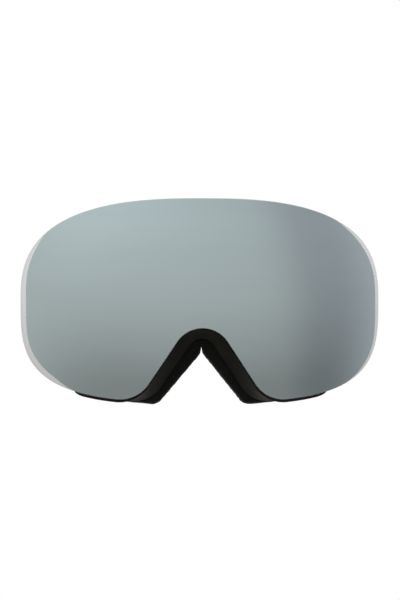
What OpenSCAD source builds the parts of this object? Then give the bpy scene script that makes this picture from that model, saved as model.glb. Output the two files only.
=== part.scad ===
// Frameless ski goggles with a lift-off double lens, hinged strap arms and an adjustable strap.
// Front faces -Y, +X is the viewer's right, +Z is up.
// The origin is the middle of the face side, level with the lens's half height.

/* [Lens] */
// Width of the outer lens
lens_w = 184; // [153:1:221]
// Height of the outer lens
lens_h = 102.4; // [85:0.1:124]
// Angle that the lens has turned through at its side edges, in degrees
lens_wrap = 67; // [58:0.5:70]
// Radius of the lens from top to bottom
lens_vertical_r = 160; // [120:1:240]
// Thickness of the outer lens
lens_t = 1.6; // [1.2:0.1:2.4]
// Thickness of the inner lens
inner_lens_t = 0.8; // [0.5:0.1:1.2]
// How full the upper corners of the outline are (2 is an ellipse)
top_fullness = 2.7; // [2.2:0.05:3]
// How full the lower corners of the outline are
bottom_fullness = 3.4; // [2.8:0.05:4.2]

/* [Nose] */
// Drop of the lens's nose arch below half height
nose_drop = 14.2; // [12:0.1:20]
// Radius of the top of the nose arch
nose_r = 15; // [11:0.1:17]
// Slope of the nose arch's sides, in degrees
nose_flank = 56.5; // [52:0.5:62]
// Radius of the lower lobes beside the nose
lobe_r = 17.6; // [16:0.1:24]

/* [Lens stack] */
// Set-back of the lens carrier from the edge of the lens
carrier_edge = 3.4; // [3:0.1:4.5]
// Width of the lens carrier, seen from the front
carrier_w = 6; // [5.6:0.1:7]
// Thickness of the lens carrier
carrier_t = 3; // [2.4:0.1:4]
// Width of the spacer between the lenses
gasket_w = 4; // [3:0.1:5]
// Thickness of the spacer between the lenses
gasket_t = 4; // [3:0.1:5]
// Diameter of the magnets
magnet_d = 4; // [3:0.1:4.8]
// Thickness of the magnets
magnet_t = 1.5; // [1:0.1:1.8]

/* [Frame] */
// Depth from the apex of the lens to the face
lens_front = 48; // [40:1:58]
// Wall of the frame
wall_t = 2.4; // [1.8:0.1:3]
// Thickness of the front seat
seat_t = 3; // [2.6:0.1:4]
// Thickness of the rear flange
flange_t = 2.6; // [2:0.1:3.5]
// How far the frame's lower curve lies below the lens's
chin = 4; // [3.4:0.1:5]
// How far the lip under each lobe shows below the lens
lip_drop = 1.5; // [1:0.1:2.2]
// How far the frame shows below the lens's nose arch
arch_lip = 0.9; // [0.5:0.1:2]
// Depth of the frame's wall at the nose
nose_depth = 5; // [3:0.5:9]
// Depth of the frame's wall at the sides
side_depth = 3.3; // [2:0.1:8]
// Set-back of the frame's rear edge from the lens's side edges
rear_side_in = 14; // [12:0.5:18]
// Width of the rear flange
flange_w = 13; // [10:0.5:15]

/* [Vents] */
// Number of vents along the top
top_vents = 9; // [5:2:9]
// Pitch of the vents
vent_pitch = 12.5; // [11:0.5:13]
// Length of a vent
vent_l = 9; // [6:0.5:9.5]
// Width of a vent
vent_w = 5; // [3:0.5:6]
// Thickness of the vent filters
filter_t = 2; // [1.2:0.1:2.6]

/* [Face foam] */
// Thickness of the firm foam ring
base_foam_t = 8; // [6:0.5:10]
// Thickness of the soft foam ring
comfort_foam_t = 6; // [4:0.5:8]
// Thickness of the fleece
fleece_t = 2; // [1.4:0.1:3]

/* [Hinges] */
// Diameter of the hinge pins
pin_d = 3; // [2.4:0.1:3.6]
// Height of an outrigger's knuckle
knuckle_h = 19.4; // [16:0.1:24]
// Height of a bracket's lugs
lug_h = 4; // [3:0.1:5]
// Distance from the hinge pin to the strap bar
outrigger_l = 17.5; // [15:0.5:22]
// Diameter of the strap bar
bar_d = 3.6; // [3:0.1:4.5]

/* [Strap] */
// Width of the strap
strap_w = 40; // [32:1:48]
// Thickness of the strap
strap_t = 1.6; // [1.2:0.1:2]
// Distance from the face to the start of the strap's round back
rear_y = 120; // [120:1:150]
// Length of the return layer between fold and slider
return_l = 14; // [10:1:14]
// Height of a silicone grip line
grip_t = 0.5; // [0.3:0.1:0.8]
// Width of a silicone grip line
grip_w = 3; // [2:0.5:4]

/* [Adjusters] */
// Length of a slider along the strap
slider_l = 18; // [16:1:24]
// Thickness of a slider's bars
slider_bar_t = 2; // [1.6:0.1:2.6]
// Width of a slider's side rails
slider_rail_w = 2.4; // [2:0.1:4]

/* [Hidden] */

// Clearances
bond = 0.1;        // glue line between bonded pieces
seat_gap = 0.3;    // lens unit to frame
soft_gap = 0.3;    // foam to its seat
run_gap = 0.05;    // pin to knuckle
press_gap = 0.02;  // pin to lugs
pin_gap = 0.3;     // between parts that turn or slide past each other
magnet_gap = 0.1;  // magnet to pocket
cut = 1;           // overshoot of cutting solids

$fn = 64;
lens_fn = 256;
strap_fn = 128;
vent_fn = 24;

// Lens surfaces
lens_r = lens_w / 2 / sin(lens_wrap);
axis_y = lens_r - lens_front;
bonded_s = lens_t + bond;  // carrier and spacer, on the back of the outer lens
seat_s = bonded_s + carrier_t + seat_gap;
inner_s = bonded_s + gasket_t + bond;
spacer_gap = 0.8;  // carrier to the spacer and inner lens
inner_edge = carrier_edge + carrier_w + spacer_gap;

// Fields of an outline: half width, height above and below, fullness above and below,
// top and radius of the nose arch, slope of its sides, and radius of the lobe
A = 0;
UP = 1;
DOWN = 2;
FULL_UP = 3;
FULL_DOWN = 4;
ARCH = 5;
ARCH_R = 6;
FLANK = 7;
LOBE_R = 8;

// Points on half an outline: upper corner, lower corner, lobe, arch side and arch top
n_up = 16;
n_down = 14;
n_lobe = 6;
n_flank = 3;
n_arch = 6;
foot_steps = 8;
least_lobe_r = 1;

// Outlines: edge of the lens, front seat, rear flange and foam
half_h = lens_h / 2;
rear_half_w = lens_w / 2 - rear_side_in;
seat_top_in = 2.4;       // seat below the lens's top edge
rear_top_in = 4.9;       // rear flange below the lens's top edge
seat_full_down = 2.6;    // fullness of the seat's lower corners, which lie inside the lens's
rear_lift = 3;           // rear flange above the seat's lower curve
rear_arch_drop = 5;      // rear flange's nose arch below the lens's
rear_arch_r = 6.5;
rear_flank = 56;
rear_full_up = 2.4;
rear_full_down = 3.3;
rear_lobe_r = 16.5;
inner_arch_r = 15;
inner_full_down = 3;
inner_lobe_r = 14;
foam_over = 0.5;         // foam past the rear flange, outside and inside
foam_arch_drop = 11.8;   // foam's nose notch below the lens's arch
foam_arch_r = 0.8;
foam_flank = 50.7;
foam_lobe_r = 5;
lens_edge = [lens_w / 2, half_h, half_h, top_fullness, bottom_fullness,
             -nose_drop, nose_r, nose_flank, lobe_r];
seat_out = [lens_w / 2 - carrier_edge, half_h - seat_top_in, half_h + chin, top_fullness, seat_full_down,
            -nose_drop - arch_lip, nose_r - arch_lip, nose_flank, lobe_r + arch_lip];
seat_in = inset(lens_edge, carrier_edge + carrier_w);
rear_out = [rear_half_w, half_h - rear_top_in, half_h + chin - rear_lift, rear_full_up, rear_full_down,
            -nose_drop - rear_arch_drop, rear_arch_r, rear_flank, rear_lobe_r];
rear_in = [rear_half_w - flange_w, half_h - rear_top_in - flange_w, half_h + chin - rear_lift - flange_w,
           rear_full_up, inner_full_down,
           -nose_drop - rear_arch_drop + flange_w, inner_arch_r, rear_flank, inner_lobe_r];
foam_out = [rear_half_w + foam_over, half_h - rear_top_in + foam_over, half_h + chin - rear_lift + foam_over,
            rear_full_up, rear_full_down,
            -nose_drop - foam_arch_drop, foam_arch_r, foam_flank, foam_lobe_r];
foam_in = inset(rear_in, foam_over);

// Face side: it stands forward at the nose and falls back to the sides, to suit the frame's depths
pad_t = base_foam_t + comfort_foam_t + fleece_t;
stack_t = seat_t + flange_t + pad_t;
nose_rise = -(lens_y([0, seat_out[ARCH]], seat_s) + nose_depth + stack_t);
side_fall = lens_y([seat_out[A], 0], seat_s) + side_depth + stack_t;
crown = 0.4;       // fall of the fleece towards its edges
nose_spread = 14;  // half width of the nose's rise
nose_start = 2;    // height where the rise begins
nose_fade = 22;    // drop over which it becomes full

// Wall, vents and filters
neck = 1.2;
lower_vents = 3;
vent_cut = 22;
filter_ends = [0.18, 0.82];  // share of the wall's depth
top_end = ((top_vents - 1) * vent_pitch + vent_l) / 2;
lower_start = lobe_x(seat_out);
lower_end = lower_start + (lower_vents - 1) * vent_pitch + vent_l / 2;

// Lip under each lobe
lip_before = 1;     // start of the lip before the lobe's lowest point
lip_side = 27.968;  // end of the lip from the lens's side edge
lip_in = 0.2;       // lip behind the seat's front, and in front of its back
lip_steps = 8;
lip_ends = [lower_start - lip_before, lens_w / 2 - lip_side];

// Hinges and strap, for the right-hand side
knuckle_wall = 1.5;
knuckle_r = pin_d / 2 + knuckle_wall;
lug_z = knuckle_h / 2 + pin_gap;
pad_edge = 1;      // pad past the lugs
pad_h = 2 * (lug_z + lug_h + pad_edge);
pad_w = 2 * (knuckle_r + pad_edge);
pad_depth = 5;
pad_rise = 0.6;    // pad behind the frame's rear flange
plate_t = 2;
hinge_out = 4.4;   // hinge pin outside the frame's rear edge
bar_in = 2;        // strap bar nearer the middle than the hinge pin
fold_gap = 0.15;   // strap to bar
pad_y = face_y([rear_half_w, 0]) - pad_t - flange_t + pad_rise;
hinge = [rear_half_w + hinge_out, pad_y + plate_t + pin_gap + knuckle_r];
bar = hinge + [-bar_in, outrigger_l];
layer_x = bar_d / 2 + fold_gap + strap_t / 2;
strap_x = bar.x + layer_x;
return_x = bar.x - layer_x;
fold_tail = 2;
swing_r = norm([outrigger_l + fold_tail, strap_x + strap_t / 2 - hinge.x]);
inner_tail = sqrt(pow(swing_r, 2) - pow(hinge.x - return_x + strap_t / 2, 2)) - outrigger_l;
run_y = hinge.y + swing_r + pin_gap;
loop_l = 10;
slider_y = run_y + return_l + pin_gap + loop_l;
strap_side_gap = 0.6;
rail_z = strap_w / 2 + strap_side_gap;
rail_w = 3;
arm_t = 3;
shoulder_l = 2;    // straight part of the rails ahead of the slot
slot_l = layer_x + strap_t / 2 + pin_gap;
arm_side = [[hinge.y, knuckle_h / 2], [hinge.y + knuckle_r + 2 * pin_gap, knuckle_h / 2],
            [bar.y - slot_l - shoulder_l, rail_z + rail_w], [bar.y, rail_z + rail_w]];
window_r = 1.6;
window_h = 9;
head_edge = 0.8;
head_r = pin_d / 2 + head_edge;
head_h = 0.9;
pin_edge = 0.3;
tongue_x = strap_x - strap_t - pin_gap;
tongue_short = 2;  // sewn end shorter than the layer it is sewn to
tongue_l = loop_l - tongue_short;
middle_x = (tongue_x + return_x) / 2;
loop_r = (tongue_x - return_x - strap_t) / 2;
middle_t = 2 * (loop_r - bond);
middle_l = 4;
slider_bar_w = 2.4;
grip_pitch = 12;

function mix(a, b, t) = a + (b - a) * t;
function smooth(t) = let (c = max(0, min(1, t))) c * c * (3 - 2 * c);

// An outline moved inwards by d
function inset(o, d) = [o[A] - d, o[UP] - d, o[DOWN] - d, o[FULL_UP], o[FULL_DOWN],
                        o[ARCH] + d, o[ARCH_R] + d, o[FLANK], max(least_lobe_r, o[LOBE_R] - d)];

// The lobe's rounding runs from a foot on the lower curve to the arch's side.
// Its x is found in a few steps, because the curve's height and slope there depend on it.
function foot_angle(o, x) = acos(pow(x / o[A], o[FULL_DOWN] / 2));
function foot_z(o, x) = -o[DOWN] * pow(sin(foot_angle(o, x)), 2 / o[FULL_DOWN]);
function foot_slope(o, x) =
    atan(o[DOWN] / o[A] * pow(-x / o[A] * o[DOWN] / foot_z(o, x), o[FULL_DOWN] - 1));
function foot_x(o, x, steps) =
    steps == 0 ? x
    : foot_x(o, (o[LOBE_R] * (1 - cos(o[FLANK] + foot_slope(o, x))) + o[ARCH_R]
                 - (foot_z(o, x) - o[ARCH] + o[ARCH_R]) * cos(o[FLANK])) / sin(o[FLANK]), steps - 1);
function lobe_x(o) = foot_x(o, o[A] / 2, foot_steps);

// Points on the upper and lower corner curves, by angle
function upper(o, t) = [o[A] * pow(cos(t), 2 / o[FULL_UP]), o[UP] * pow(sin(t), 2 / o[FULL_UP])];
function lower(o, t) = [o[A] * pow(cos(t), 2 / o[FULL_DOWN]), -o[DOWN] * pow(sin(t), 2 / o[FULL_DOWN])];

// Angle at share u of a corner curve, spread so that its points lie evenly, and the share at an angle
function even_angle(u, full) = u == 0 ? 0 : 90 / (1 + pow((1 - u) / u, full / 2));
function even_share(t, full) = 1 / (1 + pow((90 - t) / t, 2 / full));

// Right half of an outline, from the top's middle round to the nose arch's middle
function half_outline(o) =
    let (f = o[FLANK], x = lobe_x(o), slope = foot_slope(o, x), r = o[LOBE_R],
         down = even_share(foot_angle(o, x), o[FULL_DOWN]),
         lobe = [x, foot_z(o, x)] + r * [-sin(slope), cos(slope)],
         arch = [0, o[ARCH] - o[ARCH_R]],
         foot = lobe + r * [-sin(f), -cos(f)],
         shoulder = arch + o[ARCH_R] * [sin(f), cos(f)])
    [for (i = [0 : n_up - 1]) upper(o, even_angle(1 - i / n_up, o[FULL_UP])),
     for (i = [0 : n_down - 1]) lower(o, even_angle(down * i / n_down, o[FULL_DOWN])),
     for (i = [0 : n_lobe - 1])
         let (t = -90 + slope - (slope + f) * i / n_lobe) lobe + r * [cos(t), sin(t)],
     for (i = [0 : n_flank - 1]) mix(foot, shoulder, i / n_flank),
     for (i = [0 : n_arch]) let (t = 90 - f + f * i / n_arch) arch + o[ARCH_R] * [cos(t), sin(t)]];

function outline(o) = let (h = half_outline(o))
    concat(h, [for (i = [len(h) - 2 : -1 : 1]) [-h[i].x, h[i].y]]);

// Depth of the lens surface, s behind the front of the outer lens, and of the face, at [x, z]
function lens_y(p, s) =
    let (r = lens_r - lens_vertical_r + sqrt(pow(lens_vertical_r - s, 2) - p.y * p.y))
    axis_y - sqrt(r * r - p.x * p.x);
function face_y(p) =
    side_fall * pow(p.x / rear_half_w, 2)
    - nose_rise * exp(-pow(p.x / nose_spread, 2)) * smooth((nose_start - p.y) / nose_fade);

// Outlines lifted onto those surfaces
function on_lens(o, s, back = 0) = [for (p = outline(o)) [p.x, lens_y(p, s) + back, p.y]];
function on_face(o, front) = [for (p = outline(o)) [p.x, face_y(p) - front, p.y]];

// Ring through loops of points, the last joined to the first; each cell is split along its shorter diagonal
module ring(loops) {
    n = len(loops[0]);
    k = len(loops);
    points = [for (l = loops) each l];
    polyhedron(points,
               [for (j = [0 : k - 1], i = [0 : n - 1])
                    let (a = j * n + i, b = j * n + (i + 1) % n,
                         c = (j + 1) % k * n + (i + 1) % n, d = (j + 1) % k * n + i)
                    each norm(points[a] - points[c]) < norm(points[b] - points[d])
                        ? [[a, d, c], [a, c, b]] : [[a, d, b], [b, d, c]]]);
}

// Strip through sections of points, closed at both ends
module strip(sections) {
    n = len(sections[0]);
    k = len(sections);
    polyhedron([for (s = sections) each s],
               concat([for (j = [0 : k - 2], i = [0 : n - 1])
                           let (a = j * n + i, b = j * n + (i + 1) % n)
                           each [[a, b, b + n], [a, b + n, a + n]]],
                      [[for (i = [n - 1 : -1 : 0]) i], [for (i = [0 : n - 1]) (k - 1) * n + i]]));
}

// Toric shell of thickness t, s behind the front of the outer lens
module toric_shell(s, t) {
    translate([0, axis_y, 0])
        rotate_extrude(angle = 180, start = 180, $fn = lens_fn)
            intersection() {
                translate([lens_r - lens_vertical_r, 0])
                    difference() {
                        circle(lens_vertical_r - s, $fn = lens_fn);
                        circle(lens_vertical_r - s - t, $fn = lens_fn);
                    }
                translate([lens_r / 4, -lens_h])
                    square([lens_r, 2 * lens_h]);
            }
}

// An outline run through from front to back
module prism(o) {
    rotate([90, 0, 0])
        linear_extrude(height = 4 * lens_front, center = true)
            polygon(outline(o));
}

module lens_sheet(s, t, edge) {
    intersection() {
        toric_shell(s, t);
        prism(inset(lens_edge, edge));
    }
}

module lens_ring(s, t, edge, w) {
    difference() {
        lens_sheet(s, t, edge);
        prism(inset(lens_edge, edge + w));
    }
}

// Discs square to the lens surface, spread along the middle of the seat.
// front is how far a disc's front lies behind the carrier's back face.
pocket_d = magnet_d + 2 * magnet_gap;
pocket_t = magnet_t + 2 * magnet_gap;
magnet_up = [70, 42];
magnet_down = [6, 38, 66];
module seat_discs(front, t, d) {
    s = bonded_s + carrier_t;
    o = inset(lens_edge, carrier_edge + carrier_w / 2);
    spots = concat([for (a = magnet_up) upper(o, a)], [for (a = magnet_down) lower(o, a)]);
    for (p = spots, side = [-1, 1]) {
        y = lens_y(p, s);
        rise = asin(p.y / (lens_vertical_r - s));
        translate([side * p.x, y, p.y])
            rotate([0, 90 - rise, atan2(y - axis_y, side * p.x)])
                translate([0, 0, -front - t])
                    cylinder(d = d, h = t);
    }
}

module outer_lens() {
    color([0.66, 0.71, 0.72]) lens_sheet(0, lens_t, 0);
}

module inner_lens() {
    color([0.55, 0.5, 0.45]) lens_sheet(inner_s, inner_lens_t, inner_edge);
}

module lens_gasket() {
    color([0.12, 0.12, 0.12]) lens_ring(bonded_s, gasket_t, inner_edge, gasket_w);
}

module lens_carrier() {
    color([0.1, 0.1, 0.11])
        difference() {
            lens_ring(bonded_s, carrier_t, carrier_edge, carrier_w);
            seat_discs(-pocket_t, pocket_t + cut, pocket_d);
        }
}

module lens_magnets() {
    color([0.7, 0.7, 0.72]) seat_discs(-magnet_t - magnet_gap, magnet_t, magnet_d);
}

module frame_magnets() {
    color([0.7, 0.7, 0.72]) seat_discs(seat_gap + magnet_gap, magnet_t, magnet_d);
}

// Wall of the frame at depth d below its outer face: front and rear loops
function wall_front(d) = on_lens(inset(seat_out, d), seat_s, seat_t);
function wall_rear(d) = on_face(inset(rear_out, d), pad_t + flange_t);
function wall_at(d, t) = mix(wall_front(d), wall_rear(d), t);

// Height of an outline's top and bottom edges at x
function top_z(o, x) = o[UP] * pow(1 - pow(abs(x) / o[A], o[FULL_UP]), 1 / o[FULL_UP]);
function bottom_z(o, x) = -o[DOWN] * pow(1 - pow(abs(x) / o[A], o[FULL_DOWN]), 1 / o[FULL_DOWN]);

// Depth of the middle of the wall at x, above or below
function wall_mid_y(x, front_z, rear_z) =
    (lens_y([x, front_z], seat_s) + seat_t + face_y([x, rear_z]) - pad_t - flange_t) / 2;
function top_mid_y(x) = wall_mid_y(x, top_z(seat_out, x), top_z(rear_out, x));
function bottom_mid_y(x) = wall_mid_y(x, bottom_z(seat_out, x), bottom_z(rear_out, x));

// One vent, cut upright through the wall
module vent(x, y, z, turn) {
    translate([x, y, z])
        rotate(turn)
            hull()
                for (end = [-1, 1])
                    translate([end * (vent_l - vent_w) / 2, 0, 0])
                        cylinder(d = vent_w, h = vent_cut, center = true, $fn = vent_fn);
}

module vents() {
    for (i = [0 : top_vents - 1]) {
        x = (i - (top_vents - 1) / 2) * vent_pitch;
        turn = atan(top_mid_y(x + 0.5) - top_mid_y(x - 0.5));
        vent(x, top_mid_y(x), top_z(rear_out, x), turn);
    }
    for (i = [0 : lower_vents - 1], side = [-1, 1]) {
        x = side * (lower_start + i * vent_pitch);
        turn = atan(bottom_mid_y(x + 0.5) - bottom_mid_y(x - 0.5));
        vent(x, bottom_mid_y(x), bottom_z(rear_out, x), turn);
    }
}

// Lip that carries the frame's lower edge on along the lens, blunt at its outer end
function lip_section(x) =
    let (low = bottom_z(lens_edge, x) - lip_drop, high = bottom_z(seat_out, x) + wall_t,
         front = lip_in, back = seat_t - lip_in)
    [for (p = [[low, front], [high, front], [high, back], [low, back]])
         [x, lens_y([x, p.x], seat_s) + p.y, p.x]];

module chin_lip() {
    strip([for (i = [0 : lip_steps]) lip_section(mix(lip_ends[0], lip_ends[1], i / lip_steps))]);
}

// Flat pad on the frame's side that the hinge bracket sits on
module side_pad() {
    translate([hinge.x - pad_w / 2, pad_y - pad_depth, -pad_h / 2])
        cube([pad_w, pad_depth, pad_h]);
}

module frame() {
    color([0.09, 0.09, 0.095])
        difference() {
            union() {
                ring([on_lens(seat_out, seat_s), wall_front(0), wall_at(neck, 0.5), wall_rear(0),
                      on_face(rear_out, pad_t), on_face(rear_in, pad_t), on_face(rear_in, pad_t + flange_t),
                      wall_rear(wall_t), wall_at(wall_t + neck, 0.5), wall_front(wall_t),
                      on_lens(seat_in, seat_s, seat_t), on_lens(seat_in, seat_s)]);
                side_pad();
                mirror([1, 0, 0]) side_pad();
                chin_lip();
                mirror([1, 0, 0]) chin_lip();
            }
            vents();
            seat_discs(seat_gap - cut, pocket_t + cut, pocket_d);
        }
}

// Foam strip under the wall between two points of the outline
module filter_strip(first, last) {
    d = neck + wall_t + soft_gap;
    front_out = wall_at(d, filter_ends[0]);
    rear_out_loop = wall_at(d, filter_ends[1]);
    front_in = wall_at(d + filter_t, filter_ends[0]);
    rear_in_loop = wall_at(d + filter_t, filter_ends[1]);
    n = len(front_out);
    strip([for (i = [first : last]) let (k = (i + n) % n)
               [front_out[k], rear_out_loop[k], rear_in_loop[k], front_in[k]]]);
}

// Number of points along the top, or down the side, before the vents end
function top_count(o) = len([for (p = half_outline(o)) if (p.y > 0 && p.x < top_end) p]);
function side_count(o) = len([for (p = half_outline(o)) if (p.y <= 0 && p.x > lower_end) p]);

module top_vent_filter() {
    n = top_count(rear_out);
    color([0.14, 0.14, 0.14]) filter_strip(-n, n);
}

module lower_vent_filters() {
    color([0.14, 0.14, 0.14])
        for (side = [0, 1])
            mirror([side, 0, 0])
                filter_strip(n_up + side_count(rear_out) - 1, n_up + n_down + 1);
}

// Foam ring between two depths in front of the face, with the flange's edges on both faces
module foam_ring(front, back) {
    ring([on_face(foam_out, front), on_face(foam_out, back),
          on_face(rear_out, back), on_face(rear_in, back),
          on_face(foam_in, back), on_face(foam_in, front),
          on_face(rear_in, front), on_face(rear_out, front)]);
}

module face_foam_base() {
    color([0.11, 0.11, 0.11]) foam_ring(pad_t - soft_gap, comfort_foam_t + fleece_t);
}

module face_foam_comfort() {
    color([0.13, 0.13, 0.13]) foam_ring(comfort_foam_t + fleece_t - soft_gap, fleece_t);
}

// Fleece with a crowned back
module face_fleece() {
    front = fleece_t - soft_gap;
    color([0.07, 0.07, 0.075])
        ring([on_face(foam_out, front), on_face(foam_out, fleece_t / 2),
              on_face(inset(foam_out, fleece_t), crown), on_face(mix(foam_out, foam_in, 0.5), 0),
              on_face(inset(foam_in, -fleece_t), crown), on_face(foam_in, fleece_t / 2),
              on_face(foam_in, front), on_face(rear_in, front), on_face(rear_out, front)]);
}

// Right-hand hinge bracket: a plate on the pad and two lugs round the pin
module hinge_bracket() {
    color([0.08, 0.08, 0.085])
        difference() {
            union() {
                translate([hinge.x - pad_w / 2, pad_y, -pad_h / 2])
                    cube([pad_w, plate_t, pad_h]);
                for (z = [lug_z, -lug_z - lug_h])
                    translate([0, 0, z])
                        linear_extrude(height = lug_h) {
                            translate(hinge) circle(knuckle_r);
                            translate([hinge.x - knuckle_r, pad_y])
                                square([2 * knuckle_r, hinge.y - pad_y]);
                        }
            }
            translate([hinge.x, hinge.y, 0])
                cylinder(d = pin_d + 2 * press_gap, h = pad_h + 2 * cut, center = true);
        }
}

// Pin with a low round head on the upper lug
module hinge_pin() {
    top = lug_z + lug_h;
    color([0.62, 0.63, 0.65])
        translate([hinge.x, hinge.y, 0])
            rotate_extrude()
                polygon([[0, -top], [pin_d / 2 - pin_edge, -top], [pin_d / 2, -top + pin_edge],
                         [pin_d / 2, top + bond], [head_r, top + bond], [head_r, top + head_h / 2],
                         [head_r - head_h / 2, top + head_h], [0, top + head_h]]);
}

// Outline of the strap arm from the side, with the strap slot and a slot-shaped window in the web
module arm_side_view() {
    window_y = (arm_side[1].x + bar.y - slot_l) / 2;
    difference() {
        union() {
            polygon(concat(arm_side, [for (i = [3 : -1 : 0]) [arm_side[i].x, -arm_side[i].y]]));
            for (z = [-1, 1] * (rail_z + rail_w / 2))
                translate([bar.y, z])
                    circle(d = rail_w);
        }
        translate([bar.y - slot_l, -rail_z])
            square([slot_l + rail_w, 2 * rail_z]);
        for (z = [-1, 1] * window_h / 2)
            translate([window_y, z])
                circle(window_r);
        translate([window_y - window_r, -window_h / 2])
            square([2 * window_r, window_h]);
    }
}

// Strap arm: knuckle, tapered web and the strap bar between two rails
module outrigger() {
    color([0.1, 0.1, 0.105])
        difference() {
            union() {
                translate([hinge.x, hinge.y, -knuckle_h / 2])
                    cylinder(r = knuckle_r, h = knuckle_h);
                translate([hinge.x - arm_t / 2, 0, 0])
                    rotate([90, 0, 90])
                        linear_extrude(height = arm_t)
                            arm_side_view();
                translate([bar.x, bar.y, -rail_z - cut])
                    cylinder(d = bar_d, h = 2 * (rail_z + cut));
            }
            translate([hinge.x, hinge.y, 0])
                cylinder(d = pin_d + 2 * run_gap, h = knuckle_h + 2 * cut, center = true);
        }
}

// Strap turned round the bar
module strap_fold() {
    color([0.05, 0.05, 0.055])
        translate([bar.x, bar.y, -strap_w / 2]) {
            rotate_extrude(angle = 180, start = 180)
                translate([layer_x - strap_t / 2, 0])
                    square([strap_t, strap_w]);
            translate([layer_x - strap_t / 2, 0, 0])
                cube([strap_t, fold_tail, strap_w]);
            translate([-layer_x - strap_t / 2, 0, 0])
                cube([strap_t, inner_tail, strap_w]);
        }
}

module strap_layer(x, from, to) {
    color([0.05, 0.05, 0.055])
        translate([x - strap_t / 2, from, -strap_w / 2])
            cube([strap_t, to - from, strap_w]);
}

module rear_strap() {
    color([0.05, 0.05, 0.055])
        translate([0, rear_y, -strap_w / 2])
            rotate_extrude(angle = 180, $fn = strap_fn)
                translate([strap_x - strap_t / 2, 0])
                    square([strap_t, strap_w]);
}

module strap_grip() {
    color([0.2, 0.2, 0.21])
        for (i = [-1 : 1])
            translate([0, rear_y, i * grip_pitch - grip_w / 2])
                rotate_extrude(angle = 180, $fn = strap_fn)
                    translate([strap_x - strap_t / 2 - grip_t, 0])
                        square([grip_t, grip_w]);
}

// Slider: two outer bars that the strap passes under, a middle bar that holds its end, and two rails
module adjuster() {
    outer_x = strap_x + strap_t / 2 + pin_gap;
    color([0.09, 0.09, 0.095]) {
        for (z = [rail_z, -rail_z - slider_rail_w])
            translate([0, slider_y, z])
                linear_extrude(height = slider_rail_w)
                    polygon([[outer_x + slider_bar_t, -slider_l / 2], [outer_x + slider_bar_t, slider_l / 2],
                             [outer_x, slider_l / 2], [middle_x - middle_t / 2, middle_l / 2],
                             [middle_x - middle_t / 2, -middle_l / 2], [outer_x, -slider_l / 2]]);
        for (end = [-1, 1])
            translate([outer_x, slider_y + end * (slider_l - slider_bar_w) / 2 - slider_bar_w / 2, -rail_z])
                cube([slider_bar_t, slider_bar_w, 2 * rail_z]);
        translate([middle_x, slider_y, -rail_z])
            linear_extrude(height = 2 * rail_z) {
                for (end = [-1, 1])
                    translate([0, end * (middle_l - middle_t) / 2])
                        circle(d = middle_t);
                square([middle_t, middle_l - middle_t], center = true);
            }
    }
}

// End of the strap, turned round the slider's middle bar
module sewn_loop() {
    turn_y = slider_y + (middle_l - middle_t) / 2;
    color([0.05, 0.05, 0.055]) {
        translate([middle_x, turn_y, -strap_w / 2])
            rotate_extrude(angle = 180)
                translate([loop_r, 0])
                    square([strap_t, strap_w]);
        translate([return_x - strap_t / 2, slider_y - loop_l, -strap_w / 2])
            cube([strap_t, turn_y - slider_y + loop_l, strap_w]);
        translate([tongue_x - strap_t / 2, slider_y - tongue_l, -strap_w / 2])
            cube([strap_t, turn_y - slider_y + tongue_l, strap_w]);
    }
}

module left() {
    mirror([1, 0, 0]) children();
}

outer_lens();
inner_lens();
lens_gasket();
lens_carrier();
lens_magnets();
frame();
frame_magnets();
top_vent_filter();
lower_vent_filters();
face_foam_base();
face_foam_comfort();
face_fleece();
left() hinge_bracket();  // left_hinge_bracket
hinge_bracket();  // right_hinge_bracket
left() hinge_pin();  // left_hinge_pin
hinge_pin();  // right_hinge_pin
left() outrigger();  // left_outrigger
outrigger();  // right_outrigger
left() strap_fold();  // left_strap_fold
strap_fold();  // right_strap_fold
left() strap_layer(strap_x, run_y, rear_y);  // left_strap_run
strap_layer(strap_x, run_y, rear_y);  // right_strap_run
left() strap_layer(return_x, run_y, run_y + return_l);  // left_strap_return
strap_layer(return_x, run_y, run_y + return_l);  // right_strap_return
rear_strap();
strap_grip();
left() adjuster();  // left_adjuster
adjuster();  // right_adjuster
left() sewn_loop();  // left_sewn_loop
sewn_loop();  // right_sewn_loop
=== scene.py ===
"""Ski goggles: the looks of the lens unit, frame, face foam, strap arms, sliders and strap, built round the
CAD model."""

import math
from typing import NamedTuple

import bmesh
import bpy
import numpy as np
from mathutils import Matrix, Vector
from mathutils.geometry import delaunay_2d_cdt


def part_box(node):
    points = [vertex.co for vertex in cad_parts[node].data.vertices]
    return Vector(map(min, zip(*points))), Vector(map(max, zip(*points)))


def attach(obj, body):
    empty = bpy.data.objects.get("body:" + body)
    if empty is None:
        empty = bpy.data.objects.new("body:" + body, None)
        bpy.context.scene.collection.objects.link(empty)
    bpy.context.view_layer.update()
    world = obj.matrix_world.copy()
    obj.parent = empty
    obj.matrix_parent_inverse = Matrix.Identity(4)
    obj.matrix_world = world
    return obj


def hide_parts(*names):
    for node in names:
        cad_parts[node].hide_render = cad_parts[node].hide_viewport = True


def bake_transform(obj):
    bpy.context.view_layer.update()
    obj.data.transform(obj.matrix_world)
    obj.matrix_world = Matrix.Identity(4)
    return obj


bl_info = {
    "name": "Ski goggles",
    "version": (1, 0, 0),
    "blender": (4, 5, 0),
    "location": "View3D > Sidebar > Goggles",
    "description": "Frameless ski goggles with a mirrored lens, face foam and an adjustable strap",
    "category": "Add Mesh",
}

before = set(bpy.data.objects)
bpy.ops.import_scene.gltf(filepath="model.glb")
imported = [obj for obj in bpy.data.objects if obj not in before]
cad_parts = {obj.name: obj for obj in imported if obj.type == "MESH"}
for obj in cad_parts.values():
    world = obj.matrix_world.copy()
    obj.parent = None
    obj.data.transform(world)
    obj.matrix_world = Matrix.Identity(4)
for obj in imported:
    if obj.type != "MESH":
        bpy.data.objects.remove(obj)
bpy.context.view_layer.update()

MM = 0.001
SIDES = {"left": -1, "right": 1}


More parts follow.
